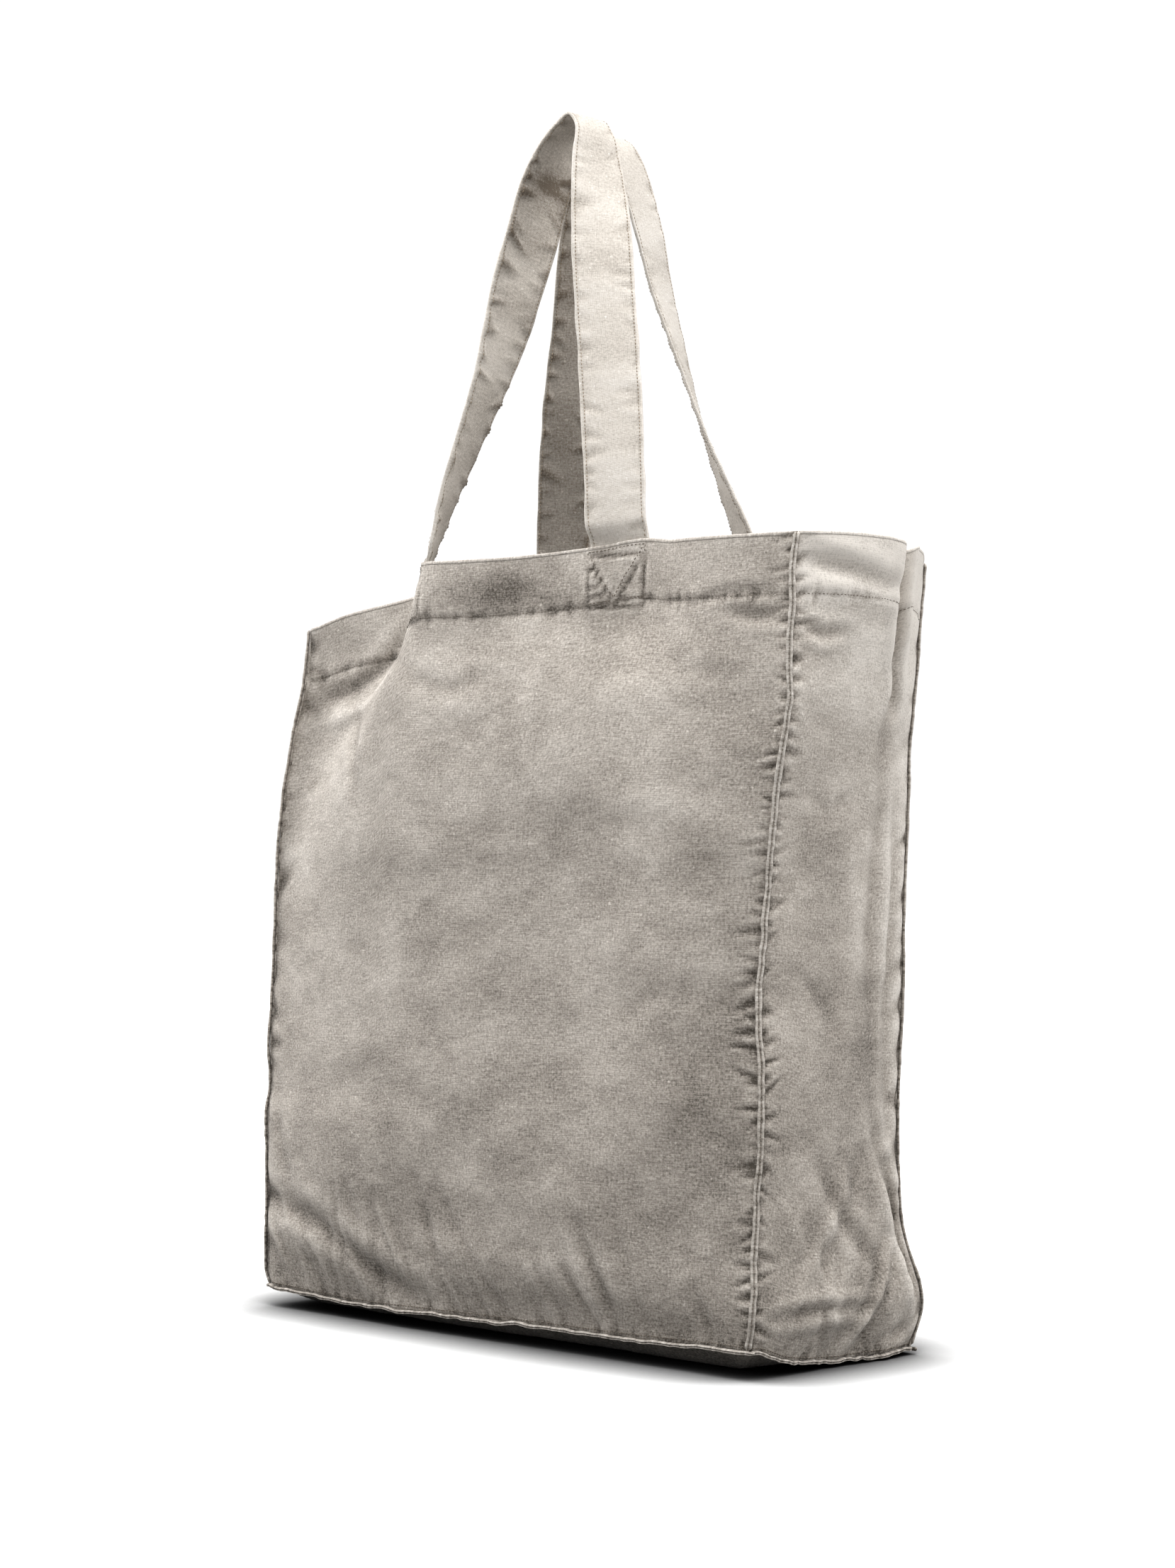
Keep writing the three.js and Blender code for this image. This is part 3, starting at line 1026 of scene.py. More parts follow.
def weave_group() -> bpy.types.NodeTree:
    """The plain weave: crossing threads of uneven thickness, with slubs, built once for every cloth.

    Returns:
        The node group.
    """
    name = "plain_weave"
    if name in bpy.data.node_groups:
        return bpy.data.node_groups[name]
    tree = bpy.data.node_groups.new(name, "ShaderNodeTree")
    socket(tree, "Vector", "INPUT", "NodeSocketVector")
    socket(tree, "Threads per metre", "INPUT", "NodeSocketFloat", 1500.0)
    socket(tree, "Height", "OUTPUT", "NodeSocketFloat")
    socket(tree, "Tone", "OUTPUT", "NodeSocketFloat")
    s = NodeSketch(tree)
    inside = s.node("NodeGroupInput")
    outside = s.node("NodeGroupOutput")
    place = inside.outputs["Vector"]
    wobble = s.node("ShaderNodeTexNoise")
    s.feed(wobble.inputs["Vector"], place)
    wobble.inputs["Scale"].default_value = 260.0
    wobble.inputs["Detail"].default_value = 1.0
    shift = s.node("ShaderNodeVectorMath", operation="MULTIPLY_ADD")
    s.feed(shift.inputs[0], wobble.outputs["Color"])
    shift.inputs[1].default_value = (0.0005, 0.0005, 0.0)
    s.feed(shift.inputs[2], place)
    split = s.node("ShaderNodeSeparateXYZ")
    s.feed(split.inputs[0], shift.outputs[0])
    waves = []
    for axis in (0, 1):
        turns = s.math("MULTIPLY", split.outputs[axis], inside.outputs["Threads per metre"])
        waves.append(s.math("SINE", s.math("MULTIPLY", turns, math.pi)))
    over = s.math("MULTIPLY", waves[0], waves[1])
    warp = s.math("MULTIPLY", s.math("ABSOLUTE", waves[0]), s.math("MULTIPLY_ADD", over, 0.35, 0.65))
    weft = s.math("MULTIPLY", s.math("ABSOLUTE", waves[1]), s.math("MULTIPLY_ADD", over, -0.35, 0.65))
    threads = s.math("MAXIMUM", warp, weft)
    slub_weft = s.noise(s.scaled(place, (110.0, 1150.0, 0.0)), 1.0, 3.0, 0.65)
    slub_warp = s.noise(s.scaled(place, (950.0, 130.0, 0.0)), 1.0, 3.0, 0.65)
    slubs = s.math("ADD", s.math("MULTIPLY", slub_weft, 0.58), s.math("MULTIPLY", slub_warp, 0.42))
    height = s.math("ADD", s.math("MULTIPLY", threads, 0.55), s.math("MULTIPLY", slubs, 0.9))
    s.feed(outside.inputs["Height"], height)
    s.feed(outside.inputs["Tone"], slubs)
    return tree


@dataclass(frozen=True)
class ClothFinish:
    """A washed plain-weave cloth.

    Attributes:
        name: The material's name.
        deep: Colour at the dark end, reached in the painted shade of creases and in dark patches.
        middle: Colour of most of the cloth.
        worn_and_lit: Colour at the light end, reached on worn places and where painted light falls on crests.
        mottle: How strongly the cloth's dyed colour varies.
        slubs: How strongly single threads show.
        wear_and_shade: How strongly the stored tone moves the colour: painted shade in creases, wear and
            painted light on crests.
        fall: How much darker it gets towards the base, painted shade for light that falls from above.
    """

    name: str
    deep: tuple[float, float, float]
    middle: tuple[float, float, float]
    worn_and_lit: tuple[float, float, float]
    mottle: float = 0.5
    slubs: float = 0.9
    wear_and_shade: float = 0.2
    fall: float = 0.0

    def build(self) -> bpy.types.Material:
        """Makes the material.

        Returns:
            The material.
        """
        material = bpy.data.materials.new(self.name)
        material.use_nodes = True
        tree = material.node_tree
        tree.nodes.clear()
        s = NodeSketch(tree)
        output = s.node("ShaderNodeOutputMaterial")
        shader = s.node("ShaderNodeBsdfPrincipled")
        tree.links.new(shader.outputs[0], output.inputs["Surface"])
        uv = s.node("ShaderNodeUVMap", uv_map="UVMap").outputs[0]
        coordinates = s.node("ShaderNodeTexCoord").outputs["Object"]
        weave = s.node("ShaderNodeGroup", node_tree=weave_group())
        s.feed(weave.inputs["Vector"], uv)
        wear_and_shade = s.node("ShaderNodeAttribute", attribute_name="wear_and_shade").outputs["Fac"]
        wide = s.noise(s.scaled(coordinates, (0.7, 1.0, 1.4)), 7.0, 3.0, 0.45)
        patches = s.noise(s.scaled(coordinates, (0.8, 1.0, 1.5)), 34.0, 4.0, 0.55)
        specks = s.noise(uv, 640.0, 3.0, 0.7)
        fibres = s.math("MAXIMUM", s.math("SUBTRACT", s.noise(uv, 390.0, 1.0, 0.5), 0.66), 0.0)
        mix = s.math("MULTIPLY_ADD", s.math("SUBTRACT", wide, 0.5), self.mottle, 0.5)
        mix = s.math("ADD", mix, s.math("MULTIPLY", s.math("SUBTRACT", patches, 0.5), self.mottle * 0.4))
        uneven = s.math("SUBTRACT", weave.outputs["Tone"], 0.5)
        mix = s.math("ADD", mix, s.math("MULTIPLY", uneven, self.slubs))
        mix = s.math("ADD", mix, s.math("MULTIPLY", s.math("SUBTRACT", specks, 0.5), self.slubs * 1.15))
        mix = s.math("ADD", mix, s.math("MULTIPLY", fibres, 2.4))
        # Wear, with painted shade and painted light, from the stored tone.
        mix = s.math("ADD", mix, s.math("MULTIPLY", wear_and_shade, self.wear_and_shade))
        # Painted shade: darker towards the base, as the light falls from above.
        height_share = s.node("ShaderNodeSeparateXYZ")
        s.feed(height_share.inputs[0], coordinates)
        rise = s.math("MULTIPLY_ADD", height_share.outputs[2], self.fall, -0.24 * self.fall)
        mix = s.math("ADD", mix, rise)
        ramp = s.node("ShaderNodeValToRGB")
        s.feed(ramp.inputs["Fac"], mix)
        stops = ramp.color_ramp.elements
        stops[0].position = 0.0
        stops[0].color = (*self.deep, 1.0)
        stops[1].position = 1.0
        stops[1].color = (*self.worn_and_lit, 1.0)
        centre = stops.new(0.5)
        centre.color = (*self.middle, 1.0)
        tree.links.new(ramp.outputs["Color"], shader.inputs["Base Color"])
        crumple = s.node("ShaderNodeBump")
        crumple.inputs["Strength"].default_value = 0.45
        crumple.inputs["Distance"].default_value = 0.0016
        s.feed(crumple.inputs["Height"], s.noise(coordinates, 90.0, 4.0, 0.6))
        threads = s.node("ShaderNodeBump")
        threads.inputs["Strength"].default_value = 0.7
        threads.inputs["Distance"].default_value = 0.00035
        s.feed(threads.inputs["Height"], weave.outputs["Height"])
        tree.links.new(crumple.outputs[0], threads.inputs["Normal"])
        tree.links.new(threads.outputs[0], shader.inputs["Normal"])
        shader.inputs["Roughness"].default_value = 0.92
        shader.inputs["Specular IOR Level"].default_value = 0.18
        shader.inputs["Sheen Weight"].default_value = 0.12
        shader.inputs["Sheen Roughness"].default_value = 0.5
        return material


@dataclass(frozen=True)
class ThreadFinish:
    """Sewing thread of two twisted plies.

    Attributes:
        name: The material's name.
        dark: Colour between the plies, painted shade in the twist.
        light: Colour on them.
    """

    name: str
    dark: tuple[float, float, float]
    light: tuple[float, float, float]

    def build(self) -> bpy.types.Material:
        """Makes the material.

        Returns:
            The material.
        """
        material = bpy.data.materials.new(self.name)
        material.use_nodes = True
        tree = material.node_tree
        tree.nodes.clear()
        s = NodeSketch(tree)
        output = s.node("ShaderNodeOutputMaterial")
        shader = s.node("ShaderNodeBsdfPrincipled")
        tree.links.new(shader.outputs[0], output.inputs["Surface"])
        coordinates = s.node("ShaderNodeTexCoord").outputs["Object"]
        plies = s.noise(s.scaled(coordinates, (1400.0, 1400.0, 2600.0)), 1.0, 1.0)
        fade = s.noise(coordinates, 55.0, 2.0)
        # Painted shade: darker where the plies' bump is low.
        mix = s.math("MULTIPLY_ADD", plies, 0.6, s.math("MULTIPLY", fade, 0.4))
        ramp = s.node("ShaderNodeValToRGB")
        s.feed(ramp.inputs["Fac"], mix)
        ramp.color_ramp.elements[0].position = 0.3
        ramp.color_ramp.elements[0].color = (*self.dark, 1.0)
        ramp.color_ramp.elements[1].position = 0.7
        ramp.color_ramp.elements[1].color = (*self.light, 1.0)
        tree.links.new(ramp.outputs["Color"], shader.inputs["Base Color"])
        bump = s.node("ShaderNodeBump")
        bump.inputs["Strength"].default_value = 0.5
        bump.inputs["Distance"].default_value = 0.0001
        s.feed(bump.inputs["Height"], plies)
        tree.links.new(bump.outputs[0], shader.inputs["Normal"])
        shader.inputs["Roughness"].default_value = 0.7
        shader.inputs["Specular IOR Level"].default_value = 0.3
        return material


class Finish(Enum):
    """The record's material slots."""

    BODY = "body_cloth"
    HEM = "hem_cloth"
    SEAM = "seam_cloth"
    STRAP = "strap_cloth"
    BODY_THREAD = "body_thread"
    STRAP_THREAD = "strap_thread"


def build_finishes() -> dict[Finish, bpy.types.Material]:
    """Makes each finish once, all but the hem's.

    Returns:
        The materials by slot.
    """
    body = dict(deep=(0.085, 0.072, 0.058), middle=(0.415, 0.373, 0.328), worn_and_lit=(0.76, 0.71, 0.65))
    seam = dict(deep=(0.085, 0.072, 0.058), middle=(0.46, 0.417, 0.37), worn_and_lit=(0.8, 0.755, 0.7))
    strap = dict(deep=(0.16, 0.13, 0.1), middle=(0.62, 0.572, 0.513), worn_and_lit=(0.86, 0.83, 0.79))
    finishes = {
        Finish.BODY: ClothFinish("washed_body_cloth", **body, mottle=0.34, slubs=1.15, wear_and_shade=0.3, fall=0.3),
        Finish.SEAM: ClothFinish("worn_seam_cloth", **seam, mottle=0.4, slubs=1.0, wear_and_shade=0.35, fall=0.36),
        Finish.STRAP: ClothFinish("pale_strap_cloth", **strap, mottle=0.2, slubs=0.6, wear_and_shade=0.36),
        Finish.BODY_THREAD: ThreadFinish("brown_thread", (0.1, 0.082, 0.062), (0.29, 0.25, 0.205)),
        Finish.STRAP_THREAD: ThreadFinish("tan_thread", (0.17, 0.13, 0.09), (0.42, 0.35, 0.265)),
    }
    return {slot: finish.build() for slot, finish in finishes.items()}


# ---------------------------------------------------------------- the sewn body


@dataclass
class ClothBody:
    """The five cut sheets and the hem that is turned in round the mouth.

    Attributes:
        shape: Where the cloth lies.
        finishes: The materials.
        fine: Distance between points near seams.
        coarse: Distance between points elsewhere.
        up: Distance between rows.
        pieces: The sheets made so far, by CAD node.
    """

    shape: BagShape
    finishes: dict[Finish, bpy.types.Material]
    fine: float = 1.35
    coarse: float = 2.7
    up: float = 1.95
    pieces: dict[str, bpy.types.Object] = field(default_factory=dict)

    NODE = {
        Wall.FRONT: "front_panel",
        Wall.BACK: "back_panel",
        Wall.RIGHT: "right_gusset",
        Wall.LEFT: "left_gusset",
    }

    def wall_grid(self, wall: Wall) -> tuple[np.ndarray, np.ndarray]:
        """The places across and up a wall where its cloth has points.

        Args:
            wall: Which wall.

        Returns:
            Two grids, the places across and the places up.
        """
        u = 2 * dense_near_ends(self.shape.width(wall), self.fine, self.coarse, 20.0) - 1
        v = np.linspace(0.0, 1.0, int(self.shape.rim / self.up))
        return np.meshgrid(u, v)

    def build_wall(self, wall: Wall) -> None:
        """Makes one wall's sheet.

        Args:
            wall: Which wall.
        """
        u, v = self.wall_grid(wall)
        points, tone = self.shape.surface(wall, u, v)
        flip = wall in (Wall.BACK, Wall.LEFT)
        obj = mesh_object(f"{self.NODE[wall]}_cloth", points, grid_faces(*u.shape, flip=flip))
        width = self.shape.width(wall)
        flat = np.stack([u * width / 2, v * self.shape.rim], axis=-1) * MM
        set_uv(obj, flat + 0.7 * list(Wall).index(wall))
        set_tone(obj, tone)
        thicken(obj, CLOTH_THICKNESS)
        finish_piece(obj, BAG_BODY, [self.NODE[wall]], self.finishes[Finish.BODY])
        self.pieces[self.NODE[wall]] = obj

    def build_hem(self, wall: Wall) -> None:
        """Makes the ply that folds over the rim and down inside.

        Args:
            wall: Which wall.
        """
        u, _ = self.wall_grid(wall)
        u = u[0] * (1 - 1.2 / (60 if wall.is_gusset else 205))
        drop = np.concatenate([[1.3, 0.5], np.zeros(5), np.linspace(0.8, self.shape.hem_depth, 16)])
        turn = np.linspace(0.0, math.pi, 5)
        radius = 0.95
        round_rim = radius * (1 - np.cos(turn)) - 0.2
        inwards = np.concatenate([[-0.15, -0.2], round_rim, np.full(16, 2 * radius - 0.1)])
        rise = np.concatenate([[0.0, 0.0], radius * np.sin(turn), np.zeros(16)])
        rim_height = self.shape.head(wall, u) - self.shape.foot(wall, u)
        v = 1 - np.clip(drop, 0, None)[:, None] / rim_height[None, :]
        uu = np.broadcast_to(u, v.shape)
        points, tone = self.shape.surface(wall, uu, v)
        points = points - inwards[:, None, None] * wall.outward
        points[..., 2] += rise[:, None]
        flip = wall in (Wall.BACK, Wall.LEFT)
        obj = mesh_object(f"{wall.value}_hem_cloth", points, grid_faces(*v.shape, flip=flip))
        width = self.shape.width(wall)
        set_uv(obj, np.stack([uu * width / 2, v * self.shape.rim], axis=-1) * MM + 0.31)
        set_tone(obj, 0.6 * tone)
        thicken(obj, CLOTH_THICKNESS * 0.8)
        finish_piece(obj, BAG_BODY, [f"{wall.value}_hem"], self.finishes[Finish.BODY])
        self.pieces[f"{wall.value}_hem"] = obj

    def build_base(self) -> None:
        """Makes the base sheet, which hangs below its seams and rests on the floor."""
        columns, rows = 160, 66
        s, t = np.meshgrid(np.linspace(0.0, 1.0, columns), np.linspace(0.0, 1.0, rows))
        edge = {w: 2 * (t if w.is_gusset else s) - 1 for w in Wall}
        front, back, right, left = (self.shape.surface(w, edge[w], np.zeros(s.shape))[0] for w in Wall)
        s3, t3 = s[..., None], t[..., None]
        lofted = front * (1 - t3) + back * t3 + left * (1 - s3) + right * s3
        corner = {
            (i, j): (front if j == 0 else back)[0, -1 if i else 0] for i in (0, 1) for j in (0, 1)
        }
        lofted -= (1 - s3) * (1 - t3) * corner[0, 0] + s3 * (1 - t3) * corner[1, 0]
        lofted -= (1 - s3) * t3 * corner[0, 1] + s3 * t3 * corner[1, 1]
        half_width, half_depth = self.shape.base_half
        away = np.minimum(np.minimum(s, 1 - s) * 2 * half_width, np.minimum(t, 1 - t) * 2 * half_depth)
        floor = 0.25 + 0.25 * (1 + cloud(lofted[..., 0], lofted[..., 1], 30.0, 77))
        drop = ease(away, 0.0, 34.0) ** 0.8
        lofted[..., 2] = lofted[..., 2] * (1 - drop) + floor * drop
        obj = mesh_object("base_panel_cloth", lofted, grid_faces(rows, columns, flip=True))
        set_uv(obj, np.stack([s * 2 * half_width, t * 2 * half_depth], axis=-1) * MM)
        # Painted shade: the base is darker all over where it hangs in the shadow under the bag, with random
        # patches.
        set_tone(obj, 0.3 * cloud(lofted[..., 0], lofted[..., 1], 12.0, 78) - 0.9)
        thicken(obj, CLOTH_THICKNESS)
        finish_piece(obj, BAG_BODY, ["base_panel"], self.finishes[Finish.BODY])
        self.pieces["base_panel"] = obj

    def build(self) -> None:
        """Makes every sheet."""
        for wall in Wall:
            self.build_wall(wall)
            self.build_hem(wall)
        self.build_base()


# ---------------------------------------------------------------- seams and stitches


@dataclass
class SeamWork:
    """The raised seams, and every row of stitches in the body.

    Attributes:
        shape: Where the cloth lies.
        finishes: The materials.
        stitch_pitch: Distance from one stitch to the next.
        stitch_length: Length of a stitch.
        stitch_width: Thickness of its thread.
    """

    shape: BagShape
    finishes: dict[Finish, bpy.types.Material]
    stitch_pitch: float = 2.4
    stitch_length: float = 1.8
    stitch_width: float = 0.7

    def stitch_template(self) -> tuple[np.ndarray, np.ndarray]:
        """One stitch, lying along X, its ends bent down into the cloth: its points and its faces.

        Returns:
            The points and the triangles.
        """
        bpy.ops.object.select_all(action="DESELECT")
        bpy.ops.mesh.primitive_uv_sphere_add(segments=6, ring_count=5, radius=0.5)
        obj = bpy.context.active_object
        bpy.ops.object.mode_set(mode="EDIT")
        bpy.ops.mesh.select_all(action="SELECT")
        bpy.ops.transform.rotate(value=math.pi / 2, orient_axis="Y", center_override=(0.0, 0.0, 0.0))
        bpy.ops.object.mode_set(mode="OBJECT")
        points = np.array([v.co[:] for v in obj.data.vertices])
        triangles = []
        for polygon in obj.data.polygons:
            corners = list(polygon.vertices)
            triangles += [[corners[0], corners[i], corners[i + 1]] for i in range(1, len(corners) - 1)]
        mesh = obj.data
        bpy.data.objects.remove(obj)
        bpy.data.meshes.remove(mesh)
        return points, np.array(triangles)

    def stitch_rows(
        self, name: str, rows: Sequence[tuple[PathReader, float]]
    ) -> bpy.types.Object:
        """Sets several rows of stitches as one object.

        Args:
            name: The piece's name.
            rows: Each row's path and its length.

        Returns:
            The rows as one object.
        """
        template, triangles = self.stitch_template()
        all_points: list[np.ndarray] = []
        all_faces: list[np.ndarray] = []
        offset = 0
        for place, length in rows:
            count = max(1, int(length / self.stitch_pitch))
            centres = (np.arange(count) + 0.5) * length / count
            half = self.stitch_length / 2
            middle, normal = place(centres)
            start, _ = place(centres - half)
            finish, _ = place(centres + half)
            along = finish - start
            along /= np.linalg.norm(along, axis=1, keepdims=True) + 1e-9
            normal = normal - (normal * along).sum(1, keepdims=True) * along
            normal /= np.linalg.norm(normal, axis=1, keepdims=True) + 1e-9
            aside = np.cross(normal, along)
            x = template[:, 0] * self.stitch_length
            y = template[:, 1] * self.stitch_width
            z = template[:, 2] * self.stitch_width * 0.8
            z = z - 0.28 * (2 * template[:, 0]) ** 4 + 0.06
            points = (
                middle[:, None, :]
                + x[None, :, None] * along[:, None, :]
                + y[None, :, None] * aside[:, None, :]
                + z[None, :, None] * normal[:, None, :]
            )
            faces = triangles[None] + (np.arange(count) * len(template))[:, None, None] + offset
            offset += count * len(template)
            all_points.append(points.reshape(-1, 3))
            all_faces.append(faces.reshape(-1, 3))
        return mesh_object(name, np.concatenate(all_points), np.concatenate(all_faces))

    def sew(self, stem: str, rows: Sequence[tuple[PathReader, float]]) -> None:
        """Makes the body's stitches along some rows, as one piece.

        Args:
            stem: What the rows hold, which names the piece and its CAD node.
            rows: Each row's path and its length.
        """
        stitches = self.stitch_rows(f"{stem}_stitches", rows)
        thread = Finish.BODY_THREAD
        finish_piece(stitches, BAG_BODY, [f"{stem}_stitching"], self.finishes[thread])

    def wall_path(
        self, wall: Wall, line: Sequence[tuple[float, float]], lift: float
    ) -> tuple[PathReader, float]:
        """A path on a wall through points given as u and v, for a row of stitches.

        Args:
            wall: Which wall.
            line: The points.
            lift: Distance out from the wall's face.

        Returns:
            The path and its length.
        """
        knots = np.array(line, float)
        dense = np.linspace(0, 1, 400)
        at = np.linspace(0, 1, len(knots))
        u = np.interp(dense, at, knots[:, 0])
        v = np.interp(dense, at, knots[:, 1])
        points, _ = self.shape.surface(wall, u, v, lift)
        steps = run_length(points)

        def place(distance: np.ndarray) -> tuple[np.ndarray, np.ndarray]:
            """Points and normals at distances along the path.

            Args:
                distance: The distances.

            Returns:
                The points and the normals.
            """
            share = np.clip(distance, 0, steps[-1])
            uu = np.interp(share, steps, u)
            vv = np.interp(share, steps, v)
            here, _ = self.shape.surface(wall, uu, vv, lift)
            step = 0.004
            right, _ = self.shape.surface(wall, uu + step, vv, lift)
            above, _ = self.shape.surface(wall, uu, vv + step, lift)
            normal = np.cross(right - here, above - here)
            normal *= np.sign((normal * wall.outward).sum(1, keepdims=True))
            return here, normal / (np.linalg.norm(normal, axis=1, keepdims=True) + 1e-9)

        return place, float(steps[-1])

    def ridge(
        self, name: str, centre: np.ndarray, outward: np.ndarray, half_width: float, height: float, seed: int
    ) -> tuple[bpy.types.Object, np.ndarray]:
        """A raised seam along a line of points.

        Args:
            name: The piece's name.
            centre: The line, on the cloth.
            outward: The way the seam stands at each point.
            half_width: Half the seam's width.
            height: How far it stands.
            seed: Picks how it waves.

        Returns:
            The seam as one closed object, and the line of its crest.
        """
        along = np.gradient(centre, axis=0)
        along /= np.linalg.norm(along, axis=1, keepdims=True)
        outward = outward - (outward * along).sum(1, keepdims=True) * along
        outward /= np.linalg.norm(outward, axis=1, keepdims=True)
        aside = np.cross(along, outward)
        steps = run_length(centre)
        sides = 20
        angle = np.linspace(0, 2 * math.pi, sides, endpoint=False)
        ring_x = np.sign(np.cos(angle)) * np.abs(np.cos(angle)) ** 0.7
        ring_y = np.sign(np.sin(angle)) * np.abs(np.sin(angle)) ** 0.8
        channel = hump(ring_x, 0.0, 0.34) * (ring_y > 0)
        ring_y = ring_y - 0.5 * channel
        sway = 0.35 * cloud(steps, 0 * steps, 9.0, seed) + 0.5 * cloud(steps, 0 * steps, 23.0, seed + 1)
        swell = 1.0 + 0.14 * cloud(steps, 0 * steps + 5, 4.2, seed + 2)
        taper = np.clip(np.minimum(steps, steps[-1] - steps) / 1.2, 0.3, 1.0)
        points = centre[:, None, :] + sway[:, None, None] * aside[:, None, :]
        spread = (half_width * swell * taper)[:, None, None] * ring_x[None, :, None]
        points = points + spread * aside[:, None, :]
        stand = height * (0.42 + 0.58 * ring_y)
        points = points + (swell * taper)[:, None, None] * stand[None, :, None] * outward[:, None, :]
        rows = len(centre)
        faces = grid_faces(rows, sides, closed=True)
        caps = []
        for row, flip in ((0, True), (rows - 1, False)):
            ring = np.arange(sides) + row * sides
            caps += [[ring[0], ring[i], ring[i + 1]] for i in range(1, sides - 1)]
            if flip:
                caps[-(sides - 2) :] = [face[::-1] for face in caps[-(sides - 2) :]]
        obj = mesh_object(name, points, faces.tolist() + [[int(i) for i in face] for face in caps])
        select_only(obj)
        bpy.ops.object.mode_set(mode="EDIT")
        bpy.ops.mesh.select_all(action="SELECT")
        bpy.ops.mesh.normals_make_consistent(inside=False)
        bpy.ops.object.mode_set(mode="OBJECT")
        uv = np.stack(np.broadcast_arrays(ring_x[None, :] * half_width, steps[:, None]), axis=-1) * MM
        set_uv(obj, uv + 0.13)
        # Lighter on the worn crest; painted shade underneath, in the channel and at the notches.
        notches = gathers(steps[:, None], 0 * ring_x[None, :], 4.2, 6.0, seed + 3)
        tone = 0.75 * ring_y[None, :] - 0.2 - 1.1 * channel[None, :] + 0.8 * notches
        set_tone(obj, tone)
        crest = centre + sway[:, None] * aside + (0.72 * height * swell * taper)[:, None] * outward
        return obj, crest

    @staticmethod
    def crest_path(
        crest: np.ndarray, outward: np.ndarray
    ) -> tuple[PathReader, float]:
        """A path along a seam's crest, for a row of stitches.

        Args:
            crest: The line of the crest.
            outward: The way the seam stands at each point.

        Returns:
            The path and its length.
        """
        steps = run_length(crest)

        def place(distance: np.ndarray) -> tuple[np.ndarray, np.ndarray]:
            """Points and normals at distances along the crest.

            Args:
                distance: The distances.

            Returns:
                The points and the normals.
            """
            return read_line(distance, steps, crest), read_line(distance, steps, outward)

        return place, float(steps[-1])

    def corner_seam(self, name: str, seed: int) -> None:
        """Makes one corner's raised seam and its topstitching.

        Args:
            name: Which corner.
            seed: Picks how it waves.
        """
        side_x = 1 if "right" in name else -1
        side_y = 1 if "back" in name else -1
        wall = Wall.RIGHT if side_x > 0 else Wall.LEFT
        end = -1.0 if side_y < 0 else 1.0
        v = np.linspace(0.004, 1.0, 300)
        line, _ = self.shape.surface(wall, np.full(v.shape, end), v)
        out = np.broadcast_to(np.array([side_x * 0.75, side_y * 0.66, 0.0]), line.shape).copy()
        seam, crest = self.ridge(f"{name}_seam_ridge", line + 0.3 * out, out, 1.9, 1.6, seed)
        finish_piece(seam, BAG_BODY, [f"{name}_seam"], self.finishes[Finish.SEAM])
        self.sew(f"{name}_seam", [self.crest_path(crest, out)])

    def base_seam(self, wall: Wall, seed: int) -> None:
        """Makes one edge's raised base seam and its topstitching.

        Args:
            wall: The wall above it.
            seed: Picks how it waves.
        """
        overhang = 0.0 if wall.is_gusset else 4.0 / 200
        u = np.linspace(-1 - overhang, 1 + overhang, 150 if wall.is_gusset else 260)
        line, _ = self.shape.surface(wall, np.clip(u, -1, 1), np.zeros(u.shape))
        spill = (np.abs(u) - 1).clip(0) * np.sign(u) * 200
        line[:, 1 if wall.is_gusset else 0] += spill
        wave = 0.5 * cloud(u * 200, 0 * u, 14.0, seed)
        out = np.broadcast_to(wall.outward + np.array([0, 0, -0.25]), line.shape).copy()
        line = line + (0.4 + wave)[:, None] * np.array([0, 0, 1.0]) + 0.8 * wall.outward
        seam, _ = self.ridge(f"base_{wall.value}_seam_ridge", line, out, 1.1, 2.4, seed)
        node = f"base_{wall.value}_seam"
        finish_piece(seam, BAG_BODY, [node], self.finishes[Finish.SEAM])
        row = self.wall_path(wall, [(-0.985, 0.0065), (0.0, 0.0065), (0.985, 0.0065)], 0.15)
        self.sew(f"base_{wall.value}_seam", [row])

    def hem_row(self, wall: Wall) -> None:
        """Makes the row of stitches that holds the hem.

        Args:
            wall: Which wall.
        """
        u = np.linspace(-0.985, 0.985, 60)
        span = self.shape.head(wall, u) - self.shape.foot(wall, u)
        v = 1 - (self.shape.hem_depth - HEM_STITCH_INSET) / span
        row = self.wall_path(wall, list(zip(u, v)), -0.1)
        self.sew(f"{wall.value}_hem", [row])

    def box_rows(self, wall: Wall, side: str, end: HandleEnd) -> None:
        """Makes the box and V at one handle end.

        Args:
            wall: Which wall.
            side: "left" or "right".
            end: The box.
        """
        rows = []
        for line in end.lines():
            knots = []
            for x, z in line:
                u = self.shape.u_at(wall, x, z / self.shape.rim)
                foot = float(self.shape.foot(wall, np.array([u]))[0])
                knots.append((u, min((z - foot) / (self.shape.rim - foot), 0.997)))
            rows.append(self.wall_path(wall, knots, -0.05))
        self.sew(f"{wall.value}_{side}_box", rows)

    def build(self) -> None:
        """Makes every seam and row."""
        for i, name in enumerate(("front_right", "front_left", "back_right", "back_left")):
            self.corner_seam(name, 500 + 10 * i)
        for i, wall in enumerate(Wall):
            self.base_seam(wall, 560 + 10 * i)
            self.hem_row(wall)
        for wall in (Wall.FRONT, Wall.BACK):
            for side, end in zip(("left", "right"), self.shape.handle_ends(wall)):
                self.box_rows(wall, side, end)


# ---------------------------------------------------------------- handles


